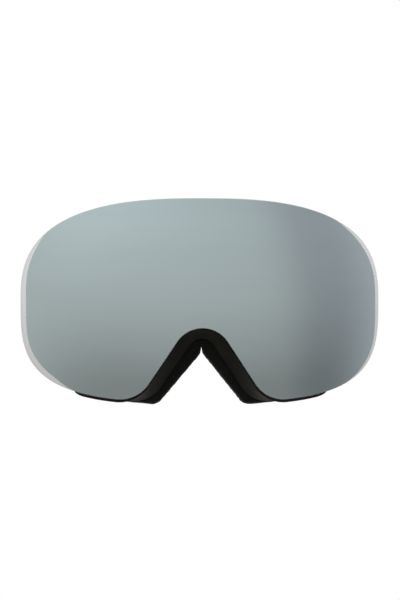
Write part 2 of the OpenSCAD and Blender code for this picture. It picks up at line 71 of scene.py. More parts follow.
def cad_width(node):
    """Width of a CAD node in millimetres"""
    low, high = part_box(node)
    return (high[0] - low[0]) / MM


def length(label, note, mm):
    return bpy.props.FloatProperty(name=label, description=note, default=mm * MM, unit="LENGTH",
                                   precision=5)


def angle(label, note, degrees):
    return bpy.props.FloatProperty(name=label, description=note, default=math.radians(degrees),
                                   subtype="ANGLE")


def plain(label, note, default):
    return bpy.props.FloatProperty(name=label, description=note, default=default)


def count(label, note, default):
    return bpy.props.IntProperty(name=label, description=note, default=default, min=1)


def colour(label, note, default):
    return bpy.props.FloatVectorProperty(name=label, description=note, default=default, size=3,
                                         min=0, max=1, subtype="COLOR")


class GoggleLensSizes(bpy.types.PropertyGroup):
    """Sizes of the lens unit"""
    width: length("Width", "Width of the outer lens", cad_width("outer_lens"))
    height: length("Height", "Height of the outer lens's outline", 102.4)
    wrap: angle("Wrap", "Angle that the lens has turned through at its side edges", 67)
    vertical_radius: length("Vertical radius", "Radius of the lens from top to bottom", 160)
    front: length("Front", "Depth from the apex of the lens to the face", 48)
    thickness: length("Thickness", "Thickness of the outer lens", 1.6)
    inner_thickness: length("Inner thickness", "Thickness of the inner lens", 0.8)
    top_fullness: plain("Top fullness", "How full the upper corners are; 2 is an ellipse", 2.7)
    bottom_fullness: plain("Bottom fullness", "How full the lower corners are", 3.4)
    nose_drop: length("Nose drop", "Drop of the nose arch below half height", 14.2)
    nose_radius: length("Nose radius", "Radius of the top of the nose arch", 15)
    nose_flank: angle("Nose flank", "Slope of the nose arch's sides", 56.5)
    lobe_radius: length("Lobe radius", "Radius of the lower lobes beside the nose", 17.6)
    clear_border: length("Clear border", "Uncoated border at the sides, along the surface", 5)
    clear_rim: length("Clear rim", "Uncoated rim above and below", 0.28)
    carrier_edge: length("Carrier set-back", "Set-back of the carrier from the lens's edge", 3.4)
    carrier_width: length("Carrier width", "Width of the lens carrier", 6)
    carrier_thickness: length("Carrier thickness", "Thickness of the lens carrier", 3)
    spacer_gap: length("Spacer gap", "From the carrier to the spacer and inner lens", 0.8)
    spacer_width: length("Spacer width", "Width of the spacer between the lenses", 4)
    spacer_thickness: length("Spacer thickness", "Thickness of the spacer between the lenses", 4)
    magnet_diameter: length("Magnet diameter", "Diameter of the magnets", 4)
    magnet_thickness: length("Magnet thickness", "Thickness of the magnets", 1.5)


class GoggleFrameSizes(bpy.types.PropertyGroup):
    """Sizes of the frame, its vents and the face foam"""
    wall: length("Wall", "Wall of the frame", 2.4)
    seat: length("Seat", "Thickness of the front seat", 3)
    flange: length("Flange", "Thickness of the rear flange", 2.6)
    flange_width: length("Flange width", "Width of the rear flange", 13)
    chin: length("Chin", "How far the frame's lower curve lies below the lens's", 4)
    lip: length("Lip", "How far the lip under each lobe shows below the lens", 1.5)
    lip_side: length("Lip end", "Where the lip ends inside the lens's side edges", 27.968)
    lip_run_out: length("Lip run-out", "Length over which the lip's outer end is rounded off", 5)
    arch_lip: length("Arch lip", "How far the frame shows below the nose arch", 0.9)
    nose_depth: length("Nose depth", "Depth of the wall at the nose", 5)
    side_depth: length("Side depth", "Depth of the wall at the sides", 3.3)
    side_set_back: length("Side set-back", "Rear edge inside the lens's side edges", 14)
    neck: length("Neck", "How far the wall draws in at half depth", 1.2)
    top_vents: count("Top vents", "Number of vents along the top", 9)
    lower_vents: count("Lower vents", "Number of vents below each eye", 3)
    vent_pitch: length("Vent pitch", "Pitch of the vents", 12.5)
    vent_length: length("Vent length", "Length of a vent", 9)
    vent_width: length("Vent width", "Width of a vent", 5)
    filter: length("Filter", "Thickness of the vent filters", 2)
    base_foam: length("Firm foam", "Thickness of the firm foam ring", 8)
    comfort_foam: length("Soft foam", "Thickness of the soft foam ring", 6)
    fleece: length("Fleece", "Thickness of the fleece", 2)
    slit_height: length("Slit height", "Height of the slit where the foam's ends meet at the nose", 3.6)
    slit_width: length("Slit width", "Half width of that slit", 0.55)
    ragged: length("Ragged", "How far the foam's cut edges wander", 0.22)


class GoggleStrapSizes(bpy.types.PropertyGroup):
    """Sizes of the strap and what is on it"""
    width: length("Width", "Width of the strap", 40)
    thickness: length("Thickness", "Thickness of the strap", 1.6)
    selvedge: length("Selvedge", "Width of the strap's woven edge", 2.2)
    grip_width: length("Grip width", "Width of a silicone grip line", 3)
    grip_height: length("Grip height", "Height of a silicone grip line", 0.5)
    grip_pitch: length("Grip pitch", "Distance between the silicone lines", 12)
    stitch: length("Stitch", "Length of a stitch", 2.1)
    stitch_pitch: length("Stitch pitch", "Distance between stitches", 2.9)
    thread: length("Thread", "Thickness of the sewing thread", 0.45)


class GoggleColours(bpy.types.PropertyGroup):
    """Colours of the finishes"""
    mirror: colour("Mirror", "Silver mirror coating", (0.515, 0.6, 0.607))
    clear: colour("Clear", "Uncoated polycarbonate", (0.42, 0.435, 0.435))
    tint: colour("Tint", "Inner lens", (0.46, 0.42, 0.38))
    plastic: colour("Plastic", "Hard moulded plastic", (0.022, 0.022, 0.024))
    soft_frame: colour("Frame", "Soft frame plastic", (0.0098, 0.0095, 0.0072))
    filter: colour("Filter", "Vent filters and the lens spacer", (0.03, 0.03, 0.03))
    foam: colour("Foam", "Face foam", (0.0048, 0.0048, 0.003))
    fleece: colour("Fleece", "Fleece against the face", (0.006, 0.006, 0.0064))
    webbing: colour("Webbing", "Elastic strap", (0.014, 0.014, 0.016))
    silicone: colour("Silicone", "Grip lines inside the strap", (0.06, 0.06, 0.065))
    steel: colour("Steel", "Hinge pins", (0.56, 0.56, 0.58))
    nickel: colour("Nickel", "Magnets", (0.62, 0.61, 0.58))


def lens_sizes():
    return bpy.context.scene.goggle_lens


def frame_sizes():
    return bpy.context.scene.goggle_frame


def strap_sizes():
    return bpy.context.scene.goggle_strap


def colours():
    return bpy.context.scene.goggle_colours


# Outlines seen from the front

class Points(NamedTuple):
    """Points on the stretches of half an outline"""
    up: int = 48
    down: int = 40
    lobe: int = 16
    flank: int = 14
    arch: int = 14


FINE = Points()
FOAM_POINTS = Points(60, 48, 24, 44, 30)
LEAST_LOBE = 1 * MM
FOOT_STEPS = 9    # rounds that find where a lobe's rounding begins


def on_circle(centre, radius, angles):
    return np.asarray(centre) + radius * np.column_stack([np.cos(angles), np.sin(angles)])


def even_angles(share, full):
    """Angles on a corner curve that spread its points evenly"""
    s = np.clip(share, 1e-9, 1)
    return np.where(share <= 0, 0, math.pi / 2 / (1 + ((1 - s) / s) ** (full / 2)))


def smooth_step(t):
    c = np.clip(t, 0, 1)
    return c * c * (3 - 2 * c)


class Outline(NamedTuple):
    """A goggle outline: two corner curves, and a nose arch between two lobes"""
    half_width: float
    up: float
    down: float
    full_up: float
    full_down: float
    arch: float
    arch_radius: float
    flank: float
    lobe: float

    def inset(self, d):
        """The outline drawn in by d"""
        return self._replace(half_width=self.half_width - d, up=self.up - d, down=self.down - d,
                             arch=self.arch + d, arch_radius=self.arch_radius + d,
                             lobe=max(LEAST_LOBE, self.lobe - d))

    def curve_z(self, x, full, height):
        return height * (1 - np.abs(x / self.half_width) ** full) ** (1 / full)

    def lower_z(self, x):
        return self.curve_z(x, self.full_down, -self.down)

    def upper_z(self, x):
        return self.curve_z(x, self.full_up, self.up)

    def corner(self, t, full, height):
        """Points at angles t on a corner curve"""
        return np.column_stack([self.half_width * np.cos(t) ** (2 / full),
                                height * np.sin(t) ** (2 / full)])

    def lobe_foot(self):
        """Where the lobe's rounding leaves the lower curve: x, z and the curve's slope"""
        x = self.half_width / 2
        for _ in range(FOOT_STEPS):
            z = self.lower_z(x)
            slope = math.atan(self.down / self.half_width
                              * (-x / self.half_width * self.down / z) ** (self.full_down - 1))
            foot = x, z, slope
            x = (self.lobe * (1 - math.cos(self.flank + slope)) + self.arch_radius
                 - (z - self.arch + self.arch_radius) * math.cos(self.flank)) / math.sin(self.flank)
        return foot

    def half(self, n):
        """Points from the top's middle round the right to the nose arch's middle"""
        x, z, slope = self.lobe_foot()
        foot_angle = math.acos((x / self.half_width) ** (self.full_down / 2))
        last = 1 / (1 + ((math.pi / 2 - foot_angle) / foot_angle) ** (2 / self.full_down))
        up_t = even_angles(1 - np.arange(n.up) / n.up, self.full_up)
        down_t = even_angles(last * np.arange(n.down) / n.down, self.full_down)
        lobe_t = -math.pi / 2 + slope - (slope + self.flank) * np.arange(n.lobe) / n.lobe
        arch_t = math.pi / 2 - self.flank + self.flank * np.arange(n.arch + 1) / n.arch
        lobe_centre = np.array([x - self.lobe * math.sin(slope), z + self.lobe * math.cos(slope)])
        arch_centre = np.array([0, self.arch - self.arch_radius])
        outward = np.array([math.sin(self.flank), math.cos(self.flank)])
        foot = lobe_centre - self.lobe * outward
        shoulder = arch_centre + self.arch_radius * outward
        flank = foot + (shoulder - foot) * (np.arange(n.flank) / n.flank)[:, None]
        return np.vstack([self.corner(up_t, self.full_up, self.up),
                          self.corner(down_t, self.full_down, -self.down),
                          on_circle(lobe_centre, self.lobe, lobe_t), flank,
                          on_circle(arch_centre, self.arch_radius, arch_t)])

    def loop(self, n=FINE):
        """Points from the top's middle round the right, the nose and the left"""
        h = self.half(n)
        return np.vstack([h, h[-2:0:-1] * [-1, 1]])


class Shape:
    """The goggles' surfaces and outlines, worked out from the sizes"""
    bond = 0.1 * MM
    seat_gap = 0.3 * MM
    soft_gap = 0.3 * MM
    magnet_gap = 0.1 * MM
    upper_magnets = 70, 42      # places on the corner curves, in degrees
    lower_magnets = 6, 38, 66
    nose_spread = 14 * MM       # half width of the face side's rise at the nose
    nose_start = 2 * MM         # height where the rise begins
    nose_fade = 22 * MM         # drop over which it becomes full
    seat_top_in = 2.4 * MM      # seat below the lens's top edge
    seat_full_down = 2.6        # fullness of the seat's lower corners
    rear_top_in = 4.9 * MM      # rear flange below the lens's top edge
    rear_lift = 3 * MM          # rear flange above the seat's lower curve
    rear_fullness = 2.4, 3.3    # fullness of its upper and lower corners
    rear_arch_drop = 5 * MM     # its nose arch below the lens's
    rear_arch_radius = 6.5 * MM
    rear_flank = math.radians(56)
    rear_lobe = 16.5 * MM
    inner_full_down = 3         # the same sizes of the flange's inner edge
    inner_arch_radius = 15 * MM
    inner_lobe = 14 * MM
    foam_over = 0.5 * MM        # foam past the rear flange, outside and inside
    foam_arch_drop = 11.8 * MM  # foam's nose notch below the lens's arch
    foam_arch_radius = 0.8 * MM
    foam_flank = math.radians(50.7)
    foam_lobe = 5 * MM

    def __init__(self):
        lens, body = lens_sizes(), frame_sizes()
        self.radius = lens.width / 2 / math.sin(lens.wrap)
        self.vertical = lens.vertical_radius
        self.axis_y = self.radius - lens.front
        self.bonded = lens.thickness + self.bond
        self.carrier_back = self.bonded + lens.carrier_thickness
        self.seat = self.carrier_back + self.seat_gap
        self.inner = self.bonded + lens.spacer_thickness + self.bond
        self.inner_edge = lens.carrier_edge + lens.carrier_width + lens.spacer_gap
        self.pocket = lens.magnet_thickness + 2 * self.magnet_gap
        self.draw_outlines(lens, body)
        self.lobe_x = self.seat_out.lobe_foot()[0]
        self.pad = body.base_foam + body.comfort_foam + body.fleece
        stack = body.seat + body.flange + self.pad
        nose = np.array([[0, self.seat_out.arch]])
        side = np.array([[self.seat_out.half_width, 0]])
        self.nose_rise = -(self.lens_y(nose, self.seat)[0] + body.nose_depth + stack)
        self.side_fall = self.lens_y(side, self.seat)[0] + body.side_depth + stack

    def draw_outlines(self, lens, body):
        """Outlines of the lens's edge, the front seat, the rear flange and the foam"""
        half_width, half_height = lens.width / 2, lens.height / 2
        chin, drop = half_height + body.chin, -lens.nose_drop
        self.edge = Outline(half_width, half_height, half_height, lens.top_fullness, lens.bottom_fullness,
                            drop, lens.nose_radius, lens.nose_flank, lens.lobe_radius)
        self.seat_out = Outline(half_width - lens.carrier_edge, half_height - self.seat_top_in, chin,
                                lens.top_fullness, self.seat_full_down, drop - body.arch_lip,
                                lens.nose_radius - body.arch_lip, lens.nose_flank,
                                lens.lobe_radius + body.arch_lip)
        self.seat_in = self.edge.inset(lens.carrier_edge + lens.carrier_width)
        self.rear_half = half_width - body.side_set_back
        up, down = half_height - self.rear_top_in, chin - self.rear_lift
        arch = drop - self.rear_arch_drop
        wide, over = body.flange_width, self.foam_over
        self.rear_out = Outline(self.rear_half, up, down, *self.rear_fullness, arch,
                                self.rear_arch_radius, self.rear_flank, self.rear_lobe)
        self.rear_in = Outline(self.rear_half - wide, up - wide, down - wide, self.rear_fullness[0],
                               self.inner_full_down, arch + wide, self.inner_arch_radius,
                               self.rear_flank, self.inner_lobe)
        self.foam_out = Outline(self.rear_half + over, up + over, down + over, *self.rear_fullness,
                                drop - self.foam_arch_drop, self.foam_arch_radius, self.foam_flank,
                                self.foam_lobe)
        self.foam_in = self.rear_in.inset(over)

    def lens_y(self, p, s):
        """Depth of the lens surface, s behind its front, at points [x, z]"""
        ring = self.radius - self.vertical + np.sqrt((self.vertical - s) ** 2 - p[:, 1] ** 2)
        return self.axis_y - np.sqrt(ring ** 2 - p[:, 0] ** 2)

    def lens_normal(self, p, s):
        """Outward normal of that surface"""
        y = self.lens_y(p, s) - self.axis_y
        level = np.sqrt((self.vertical - s) ** 2 - p[:, 1] ** 2)
        ring = self.radius - self.vertical + level
        out = np.column_stack([p[:, 0] / ring * level, y / ring * level, p[:, 1]])
        return out / (self.vertical - s)

    def face_y(self, p):
        """Depth of the face at points [x, z]"""
        full = smooth_step((self.nose_start - p[:, 1]) / self.nose_fade)
        rise = np.exp(-(p[:, 0] / self.nose_spread) ** 2) * full
        return self.side_fall * (p[:, 0] / self.rear_half) ** 2 - self.nose_rise * rise

    def on_lens(self, p, s, back=0.0):
        """Points [x, z] laid on the lens surface s behind its front, and then moved back"""
        return np.column_stack([p[:, 0], self.lens_y(p, s) + back, p[:, 1]])

    def on_face(self, p, front):
        """Points [x, z] laid in front of the face"""
        return np.column_stack([p[:, 0], self.face_y(p) - front, p[:, 1]])

    def wall_at(self, d, t):
        """Loop in the frame's wall, d below its outer face, at share t of its depth"""
        body = frame_sizes()
        front = self.on_lens(self.seat_out.inset(d).loop(), self.seat, body.seat)
        rear = self.on_face(self.rear_out.inset(d).loop(), self.pad + body.flange)
        return front + (rear - front) * t

    def wall(self, d, steps=10):
        """Loops across the wall from front to rear, drawn in at half depth"""
        neck = frame_sizes().neck
        return [self.wall_at(d + neck * (1 - (2 * t - 1) ** 2), t) for t in np.linspace(0, 1, steps)]

    def magnet_spots(self):
        """Middles of the magnets on the carrier's back face, with the outward normals"""
        lens = lens_sizes()
        o = self.edge.inset(lens.carrier_edge + lens.carrier_width / 2)
        p = np.vstack([o.corner(np.radians(self.upper_magnets), o.full_up, o.up),
                       o.corner(np.radians(self.lower_magnets), o.full_down, -o.down)])
        p = np.vstack([p, p * [-1, 1]])
        return self.on_lens(p, self.carrier_back), self.lens_normal(p, self.carrier_back)


# Meshes

def add_object(name, data):
    """A new object in the scene"""
    obj = bpy.data.objects.new(name, data)
    bpy.context.scene.collection.objects.link(obj)
    return obj


def from_bmesh(name, bm):
    """A new object from a bmesh, which is used up"""
    mesh = bpy.data.meshes.new(name)
    bm.to_mesh(mesh)
    bm.free()
    return add_object(name, mesh)


def new_object(name, verts, faces, uv=None):
    """An object from points and faces, with outward normals; uv holds one pair for each point"""
    mesh = bpy.data.meshes.new(name)
    mesh.from_pydata([tuple(v) for v in verts], [], faces)
    if uv is not None:
        layer = mesh.uv_layers.new(name="UVMap")
        index = np.zeros(len(mesh.loops), np.int32)
        mesh.loops.foreach_get("vertex_index", index)
        layer.data.foreach_set("uv", np.asarray(uv, np.float32)[index].ravel())
    bm = bmesh.new()
    bm.from_mesh(mesh)
    bmesh.ops.recalc_face_normals(bm, faces=bm.faces)
    bm.to_mesh(mesh)
    bm.free()
    return add_object(name, mesh)


def soften(obj, degrees=35):
    """Smooth shading that keeps edges sharper than an angle"""
    obj.data.shade_smooth()
    obj.data.set_sharp_from_angle(angle=math.radians(degrees))
    return obj


def rounded(loops, radii, steps=4, most=0.45):
    """A closed profile of loops with its corners rounded. Each loop has a radius, which takes at most a
    share of the sides beside it."""
    made = []
    for k, (here, r) in enumerate(zip(loops, radii)):
        if r == 0:
            made.append(here)
            continue
        before, after = loops[k - 1] - here, loops[(k + 1) % len(loops)] - here
        a, b = (here + v * np.minimum(r / np.linalg.norm(v, axis=1, keepdims=True), most)
                for v in (before, after))
        for t in np.linspace(0, 1, steps):
            made.append(a * (1 - t) ** 2 + here * 2 * t * (1 - t) + b * t ** 2)
    return made


def quads(rows, n, closed):
    """Faces between rows of n points each; closed joins the last row to the first"""
    return [(j * n + i, j * n + (i + 1) % n, (j + 1) % rows * n + (i + 1) % n, (j + 1) % rows * n + i)
            for j in range(rows if closed else rows - 1) for i in range(n)]


def ring(name, loops):
    """A ring through loops of points, the last joined to the first"""
    n, k = len(loops[0]), len(loops)
    return soften(new_object(name, np.vstack(loops), quads(k, n, True)))


def strip(name, sections, uv=None):
    """A bar through closed sections of points, with its ends capped"""
    n, k = len(sections[0]), len(sections)
    caps = [tuple(range(n)), tuple((k - 1) * n + i for i in range(n))]
    return soften(new_object(name, np.vstack(sections), quads(k, n, False) + caps, uv))


def inward(loop):
    """Unit normals of a clockwise loop in the plane, pointing inwards"""
    along = np.roll(loop, -1, axis=0) - np.roll(loop, 1, axis=0)
    n = np.column_stack([along[:, 1], -along[:, 0]])
    return n / np.linalg.norm(n, axis=1, keepdims=True)


def inside(points, loop):
    """Which points lie inside a closed loop"""
    hit = np.zeros(len(points), bool)
    x, z = points[:, 0], points[:, 1]
    for a, b in zip(loop, np.roll(loop, -1, axis=0)):
        crosses = (a[1] > z) != (b[1] > z)
        at = a[0] + (z - a[1]) / ((b[1] - a[1]) or 1e-12) * (b[0] - a[0])
        hit ^= crosses & (x < at)
    return hit


def filled(loop, pitch, row_step=0.87, keep_off=0.7):
    """Triangles that fill a loop: all points, of which the loop's own come first, and the triangles. Rows
    of points lie row_step pitches apart, and keep_off pitches from the loop."""
    low, high = loop.min(0), loop.max(0)
    grid = []
    for k, z in enumerate(np.arange(low[1], high[1], pitch * row_step)):
        xs = np.arange(low[0] + (k % 2) * pitch / 2, high[0], pitch)
        grid.append(np.column_stack([xs, np.full(len(xs), z)]))
    grid = np.vstack(grid)
    points = np.vstack([loop, grid[inside(grid, loop + inward(loop) * pitch * keep_off)]])
    rim = list(range(len(loop)))
    _, _, faces, origin, _, _ = delaunay_2d_cdt([Vector(p) for p in points], [], [rim], 1, 1e-7)
    if not all(origin):
        raise RuntimeError("the lens outline crosses itself")
    return points, [tuple(origin[v][0] for v in f) for f in faces]


def slot_of(obj, body, slot, *nodes):
    """Puts a piece on its body and hides the CAD nodes that it stands for; slot is not used"""
    if nodes:
        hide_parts(*nodes)
    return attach(obj, body)


def wear(obj, *materials):
    """Gives an object its materials, in place of the empty slot that a cut can leave"""
    if obj.data.materials:
        obj.data.materials.clear()
    for m in materials:
        obj.data.materials.append(m)
    return obj


def dress(obj, body, slot, *nodes, fill=None):
    """Gives a piece the finish of its slot and puts it on its body; fill is not used"""
    wear(obj, FINISH[slot])
    return slot_of(obj, body, slot, *nodes)


def settled(obj):
    """The object with its modifiers worked into its mesh"""
    bpy.context.view_layer.update()
    graph = bpy.context.evaluated_depsgraph_get()
    made = bpy.data.meshes.new_from_object(obj.evaluated_get(graph))
    old = obj.data
    obj.modifiers.clear()
    obj.data = made
    made.name = old.name
    bpy.data.meshes.remove(old)
    return obj


def drop(obj):
    mesh = obj.data
    bpy.data.objects.remove(obj)
    bpy.data.meshes.remove(mesh)


def carve(obj, cutter, operation="DIFFERENCE"):
    """Cuts a solid out of an object, or joins it to it; the solid is used up"""
    cut = obj.modifiers.new("Cut", "BOOLEAN")
    cut.operation = operation
    cut.object = cutter
    cut.solver = "EXACT"
    cut.use_self = True
    settled(obj)
    drop(cutter)
    return obj


def box_of(name, low, high, round_off):
    """A block with rounded edges"""
    bm = bmesh.new()
    bmesh.ops.create_cube(bm, size=1)
    for v in bm.verts:
        v.co = [(v.co[k] + 0.5) * (high[k] - low[k]) + low[k] for k in range(3)]
    bmesh.ops.bevel(bm, geom=bm.edges, offset=round_off, segments=3, profile=0.5, affect="EDGES")
    return from_bmesh(name, bm)


def eased_copy(node, name, edge):
    """A copy of a CAD node with its triangles merged into faces and its edges eased"""
    flat, sharp = math.radians(1), math.radians(32)
    bm = bmesh.new()
    bm.from_mesh(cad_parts[node].data)
    bmesh.ops.remove_doubles(bm, verts=bm.verts, dist=1e-6)
    bmesh.ops.dissolve_limit(bm, angle_limit=flat, verts=bm.verts, edges=bm.edges)
    obj = from_bmesh(name, bm)
    bevel = obj.modifiers.new("Edges", "BEVEL")
    bevel.width = edge
    bevel.segments = 3
    bevel.limit_method = "ANGLE"
    bevel.angle_limit = sharp
    return soften(settled(obj), 30)


# Node trees

class Value:
    """An output of a node; sums on it add Math nodes"""

    def __init__(self, maker, socket):
        self.maker, self.socket = maker, socket

    def work(self, operation, a, b=0.0):
        return self.maker.node("ShaderNodeMath", {"operation": operation}, {0: a, 1: b})

    def __add__(self, other):
        return self.work("ADD", self, other)

    def __sub__(self, other):
        return self.work("SUBTRACT", self, other)

    def __rsub__(self, other):
        return self.work("SUBTRACT", other, self)

    def __mul__(self, other):
        return self.work("MULTIPLY", self, other)

    def __abs__(self):
        return self.work("ABSOLUTE", self)

    __radd__ = __add__
    __rmul__ = __mul__

    def sine(self):
        return self.work("SINE", self)

    def wave(self, pitch):
        """A sine that repeats after a pitch"""
        return (self * (2 * math.pi / pitch)).sine()

    def larger(self, other):
        return self.work("MAXIMUM", self, other)

    def over(self, low, high):
        """0 below low, 1 above high, smooth between"""
        return self.maker.node("ShaderNodeMapRange", {"interpolation_type": "SMOOTHSTEP"},
                               {"Value": self, "From Min": low, "From Max": high})


class NodeMaker:
    """Adds nodes to a tree"""

    def __init__(self, tree):
        self.tree = tree

    def node(self, kind, settings=None, sockets=None, output=0):
        """Adds a node, with its settings and then the values or links of its sockets, and gives an output,
        if it has one"""
        made = self.tree.nodes.new(kind)
        for key, value in (settings or {}).items():
            setattr(made, key, value)
        for key, value in (sockets or {}).items():
            self.feed(made.inputs[key], value)
        return Value(self, made.outputs[output]) if made.outputs else None

    def feed(self, socket, value):
        if isinstance(value, Value):
            self.tree.links.new(value.socket, socket)
        else:
            socket.default_value = value

    def outputs(self, kind, sockets=None):
        """Adds a node and gives all its outputs by name"""
        made = self.node(kind, None, sockets)
        return {s.name: Value(self, s) for s in made.socket.node.outputs}

    def place(self, kind="Object"):
        return self.node("ShaderNodeTexCoord", output=kind)

    def axes(self, place):
        return self.outputs("ShaderNodeSeparateXYZ", {0: place}).values()

    def mix(self, share, a, b):
        return self.node("ShaderNodeMix", {"data_type": "RGBA"}, {0: share, 6: a, 7: b}, output=2)


# Repeated pieces: a piece set on points, each turned by the points' own angles

SCATTER = "Set pieces on points"
SCATTER_INPUTS = {"Points": "Geometry", "Piece": "Object", "Width": "Float", "Length": "Float",
                  "Height": "Float", "Material": "Material"}


def scatter_tree():
    """Sets a piece on each point, turned and sized"""
    tree = bpy.data.node_groups.new(SCATTER, "GeometryNodeTree")
    tree.interface.new_socket("Geometry", in_out="OUTPUT", socket_type="NodeSocketGeometry")
    for label, kind in SCATTER_INPUTS.items():
        tree.interface.new_socket(label, in_out="INPUT", socket_type="NodeSocket" + kind)
    build = NodeMaker(tree)
    given = build.outputs("NodeGroupInput")
    piece = build.node("GeometryNodeObjectInfo", None, {"Object": given["Piece"], "As Instance": True},
                       output="Geometry")
    turn = build.node("GeometryNodeInputNamedAttribute", {"data_type": "FLOAT_VECTOR"}, {"Name": "turn"},
                      output="Attribute")
    turn = build.node("FunctionNodeEulerToRotation", None, {0: turn})
    size = build.node("ShaderNodeCombineXYZ", None, {"X": given["Width"], "Y": given["Length"],
                                                     "Z": given["Height"]})
    made = build.node("GeometryNodeInstanceOnPoints", None, {"Points": given["Points"], "Instance": piece,
                                                             "Rotation": turn, "Scale": size})
    made = build.node("GeometryNodeRealizeInstances", None, {0: made})
    made = build.node("GeometryNodeSetMaterial", None, {"Geometry": made, "Material": given["Material"]})
    build.node("NodeGroupOutput", None, {0: made})
    return tree


def scatter(name, points, turns, piece, size, material):
    """An object of copies of a piece, set on points by the node tree; the piece is used up"""
    tree = bpy.data.node_groups.get(SCATTER) or scatter_tree()
    mesh = bpy.data.meshes.new(name)
    mesh.from_pydata([tuple(p) for p in points], [], [])
    held = mesh.attributes.new("turn", "FLOAT_VECTOR", "POINT")
    held.data.foreach_set("vector", np.asarray(turns, np.float32).ravel())
    obj = add_object(name, mesh)
    modifier = obj.modifiers.new("Copies", "NODES")
    modifier.node_group = tree
    sockets = {s.name: s.identifier for s in tree.interface.items_tree if s.in_out == "INPUT"}
    values = {"Piece": piece, "Width": size[0], "Length": size[1], "Height": size[2], "Material": material}
    for label, value in values.items():
        modifier[sockets[label]] = value
    settled(obj)
    drop(piece)
    return soften(obj)


def turned_to(normals):
    """Angles that turn +Z to each normal"""
    return [Vector((0, 0, 1)).rotation_difference(Vector(n)).to_euler()[:] for n in normals]


def disc(name, edge=0.06, sides=40):
    """A disc 1 across and 1 thick, from -1 to 0 along Z, with chamfered rims"""
    flat = on_circle((0, 0), 0.5, np.linspace(0, 2 * math.pi, sides, endpoint=False))
    loops = [np.column_stack([flat * (1 - 2 * i), np.full(sides, z)])
             for i, z in ((edge, -1), (0, -1 + 2 * edge), (0, -2 * edge), (edge, 0))]
    return strip(name, loops)


def rounded_slot(name, long, wide, deep, sides=12):
    """A slot-shaped cutter along Z"""
    end = on_circle(((long - wide) / 2, 0), wide / 2, np.linspace(-math.pi / 2, math.pi / 2, sides))
    flat = np.vstack([end, -end])
    return strip(name, [np.column_stack([flat, np.full(len(flat), z)]) for z in (-deep / 2, deep / 2)])


# Materials

class Finish(NodeMaker):
    """A material of one Principled shader"""

    def __init__(self, name):
        self.material = bpy.data.materials.new(name)
        self.material.use_nodes = True
        super().__init__(self.material.node_tree)
        self.shader = next(n for n in self.tree.nodes if n.type == "BSDF_PRINCIPLED")

    def set(self, **sockets):
        """Feeds the shader's sockets; an underscore in a name stands for a space"""
        for key, value in sockets.items():
            self.feed(self.shader.inputs[key.replace("_", " ")], value)

    def noise(self, place, scale, detail, roughness=0.5):
        return self.node("ShaderNodeTexNoise", None, {"Vector": place, "Scale": scale, "Detail": detail,
                                                      "Roughness": roughness})

    def cells(self, place, scale):
        return self.node("ShaderNodeTexVoronoi", None, {"Vector": place, "Scale": scale})

    def stretched(self, place, scale):
        return self.node("ShaderNodeMapping", None, {"Vector": place, "Scale": scale})

    def bump(self, height, strength, distance):
        self.set(Normal=self.node("ShaderNodeBump", None, {"Strength": strength, "Distance": distance,
                                                           "Height": height}))


def shade(rgb, factor):
    return tuple(c * factor for c in rgb) + (1,)


def mirror_finish():
    """Silver coating: even, with faint coating bands and a trace of haze"""
    c, m = colours().mirror, Finish("mirror_coating")
    place = m.place()
    haze = m.noise(place, 18, 2)
    bands = m.noise(m.stretched(place, (6, 6, 60)), 1, 3)
    m.set(Base_Color=m.mix(bands.over(0.3, 0.7), shade(c, 0.985), shade(c, 1.015)), Metallic=1.0,
          Roughness=0.35 + (haze - 0.5) * 0.06)
    return m.material


def clear_finish():
    """Clear polycarbonate of the outer lens where it has no coating: thin, a little milky, and with painted
    shade that darkens it towards the bottom"""
    c, m = colours().clear, Finish("clear_polycarbonate")
    place = m.place()
    _, _, z = m.axes(place)
    scuffs = m.noise(m.stretched(place, (300, 300, 900)), 1, 3)
    # Painted shade: the base colour darkens to near black towards the bottom of the lens
    m.set(Base_Color=m.mix(z.over(-45 * MM, 30 * MM), shade(c, 0.08), shade(c, 1)), Alpha=0.33,
          Coat_Weight=1.0, Coat_Roughness=0.04, Roughness=0.1 + scuffs * 0.06)
    return m.material


def tint_finish():
    """Inner lens: lightly tinted, with a fog-free film"""
    c, m = colours().tint, Finish("tinted_inner_lens")
    film = m.noise(m.place(), 60, 3)
    m.set(Base_Color=shade(c, 1), Transmission_Weight=0.85, IOR=1.5, Roughness=0.06 + film * 0.06)
    return m.material


def moulded_finish(name, rgb, rough, gloss, grain, depth):
    """Moulded plastic with a fine spark grain, rubbed a little smoother in patches"""
    m = Finish(name)
    place = m.place()
    fine = m.cells(place, 1 / grain)
    cloud = m.noise(place, 70, 3)
    m.set(Base_Color=m.mix(cloud.over(0.3, 0.7), shade(rgb, 0.85), shade(rgb, 1.2)),
          Roughness=rough + (cloud - 0.5) * 0.12 + (fine - 0.5) * 0.06, Specular_IOR_Level=gloss)
    m.bump(fine + m.noise(place, 0.4 / grain, 2), 0.3, depth)
    return m.material


def foam_finish(name, rgb, cell, sheen):
    """Open-cell foam: small pores, darkened with painted shade, between rounded struts"""
    m = Finish(name)
    place = m.place()
    pores = m.cells(place, 1 / cell)
    small = m.cells(place, 2.3 / cell)
    cloud = m.noise(place, 220, 3)
    struts_not_pore_shade = pores.over(0.15, 0.6)
    # Painted shade: the base colour darkens in the pores; the struts keep a random tone
    m.set(Base_Color=m.mix(struts_not_pore_shade, shade(rgb, 0.35), m.mix(cloud, shade(rgb, 0.8), shade(rgb, 1.5))),
          Roughness=0.95 - struts_not_pore_shade * 0.05, Sheen_Weight=sheen, Sheen_Roughness=0.6,
          Specular_IOR_Level=0.2)
    m.bump(pores + small * 0.5, 0.8, cell * 0.5)
    return m.material


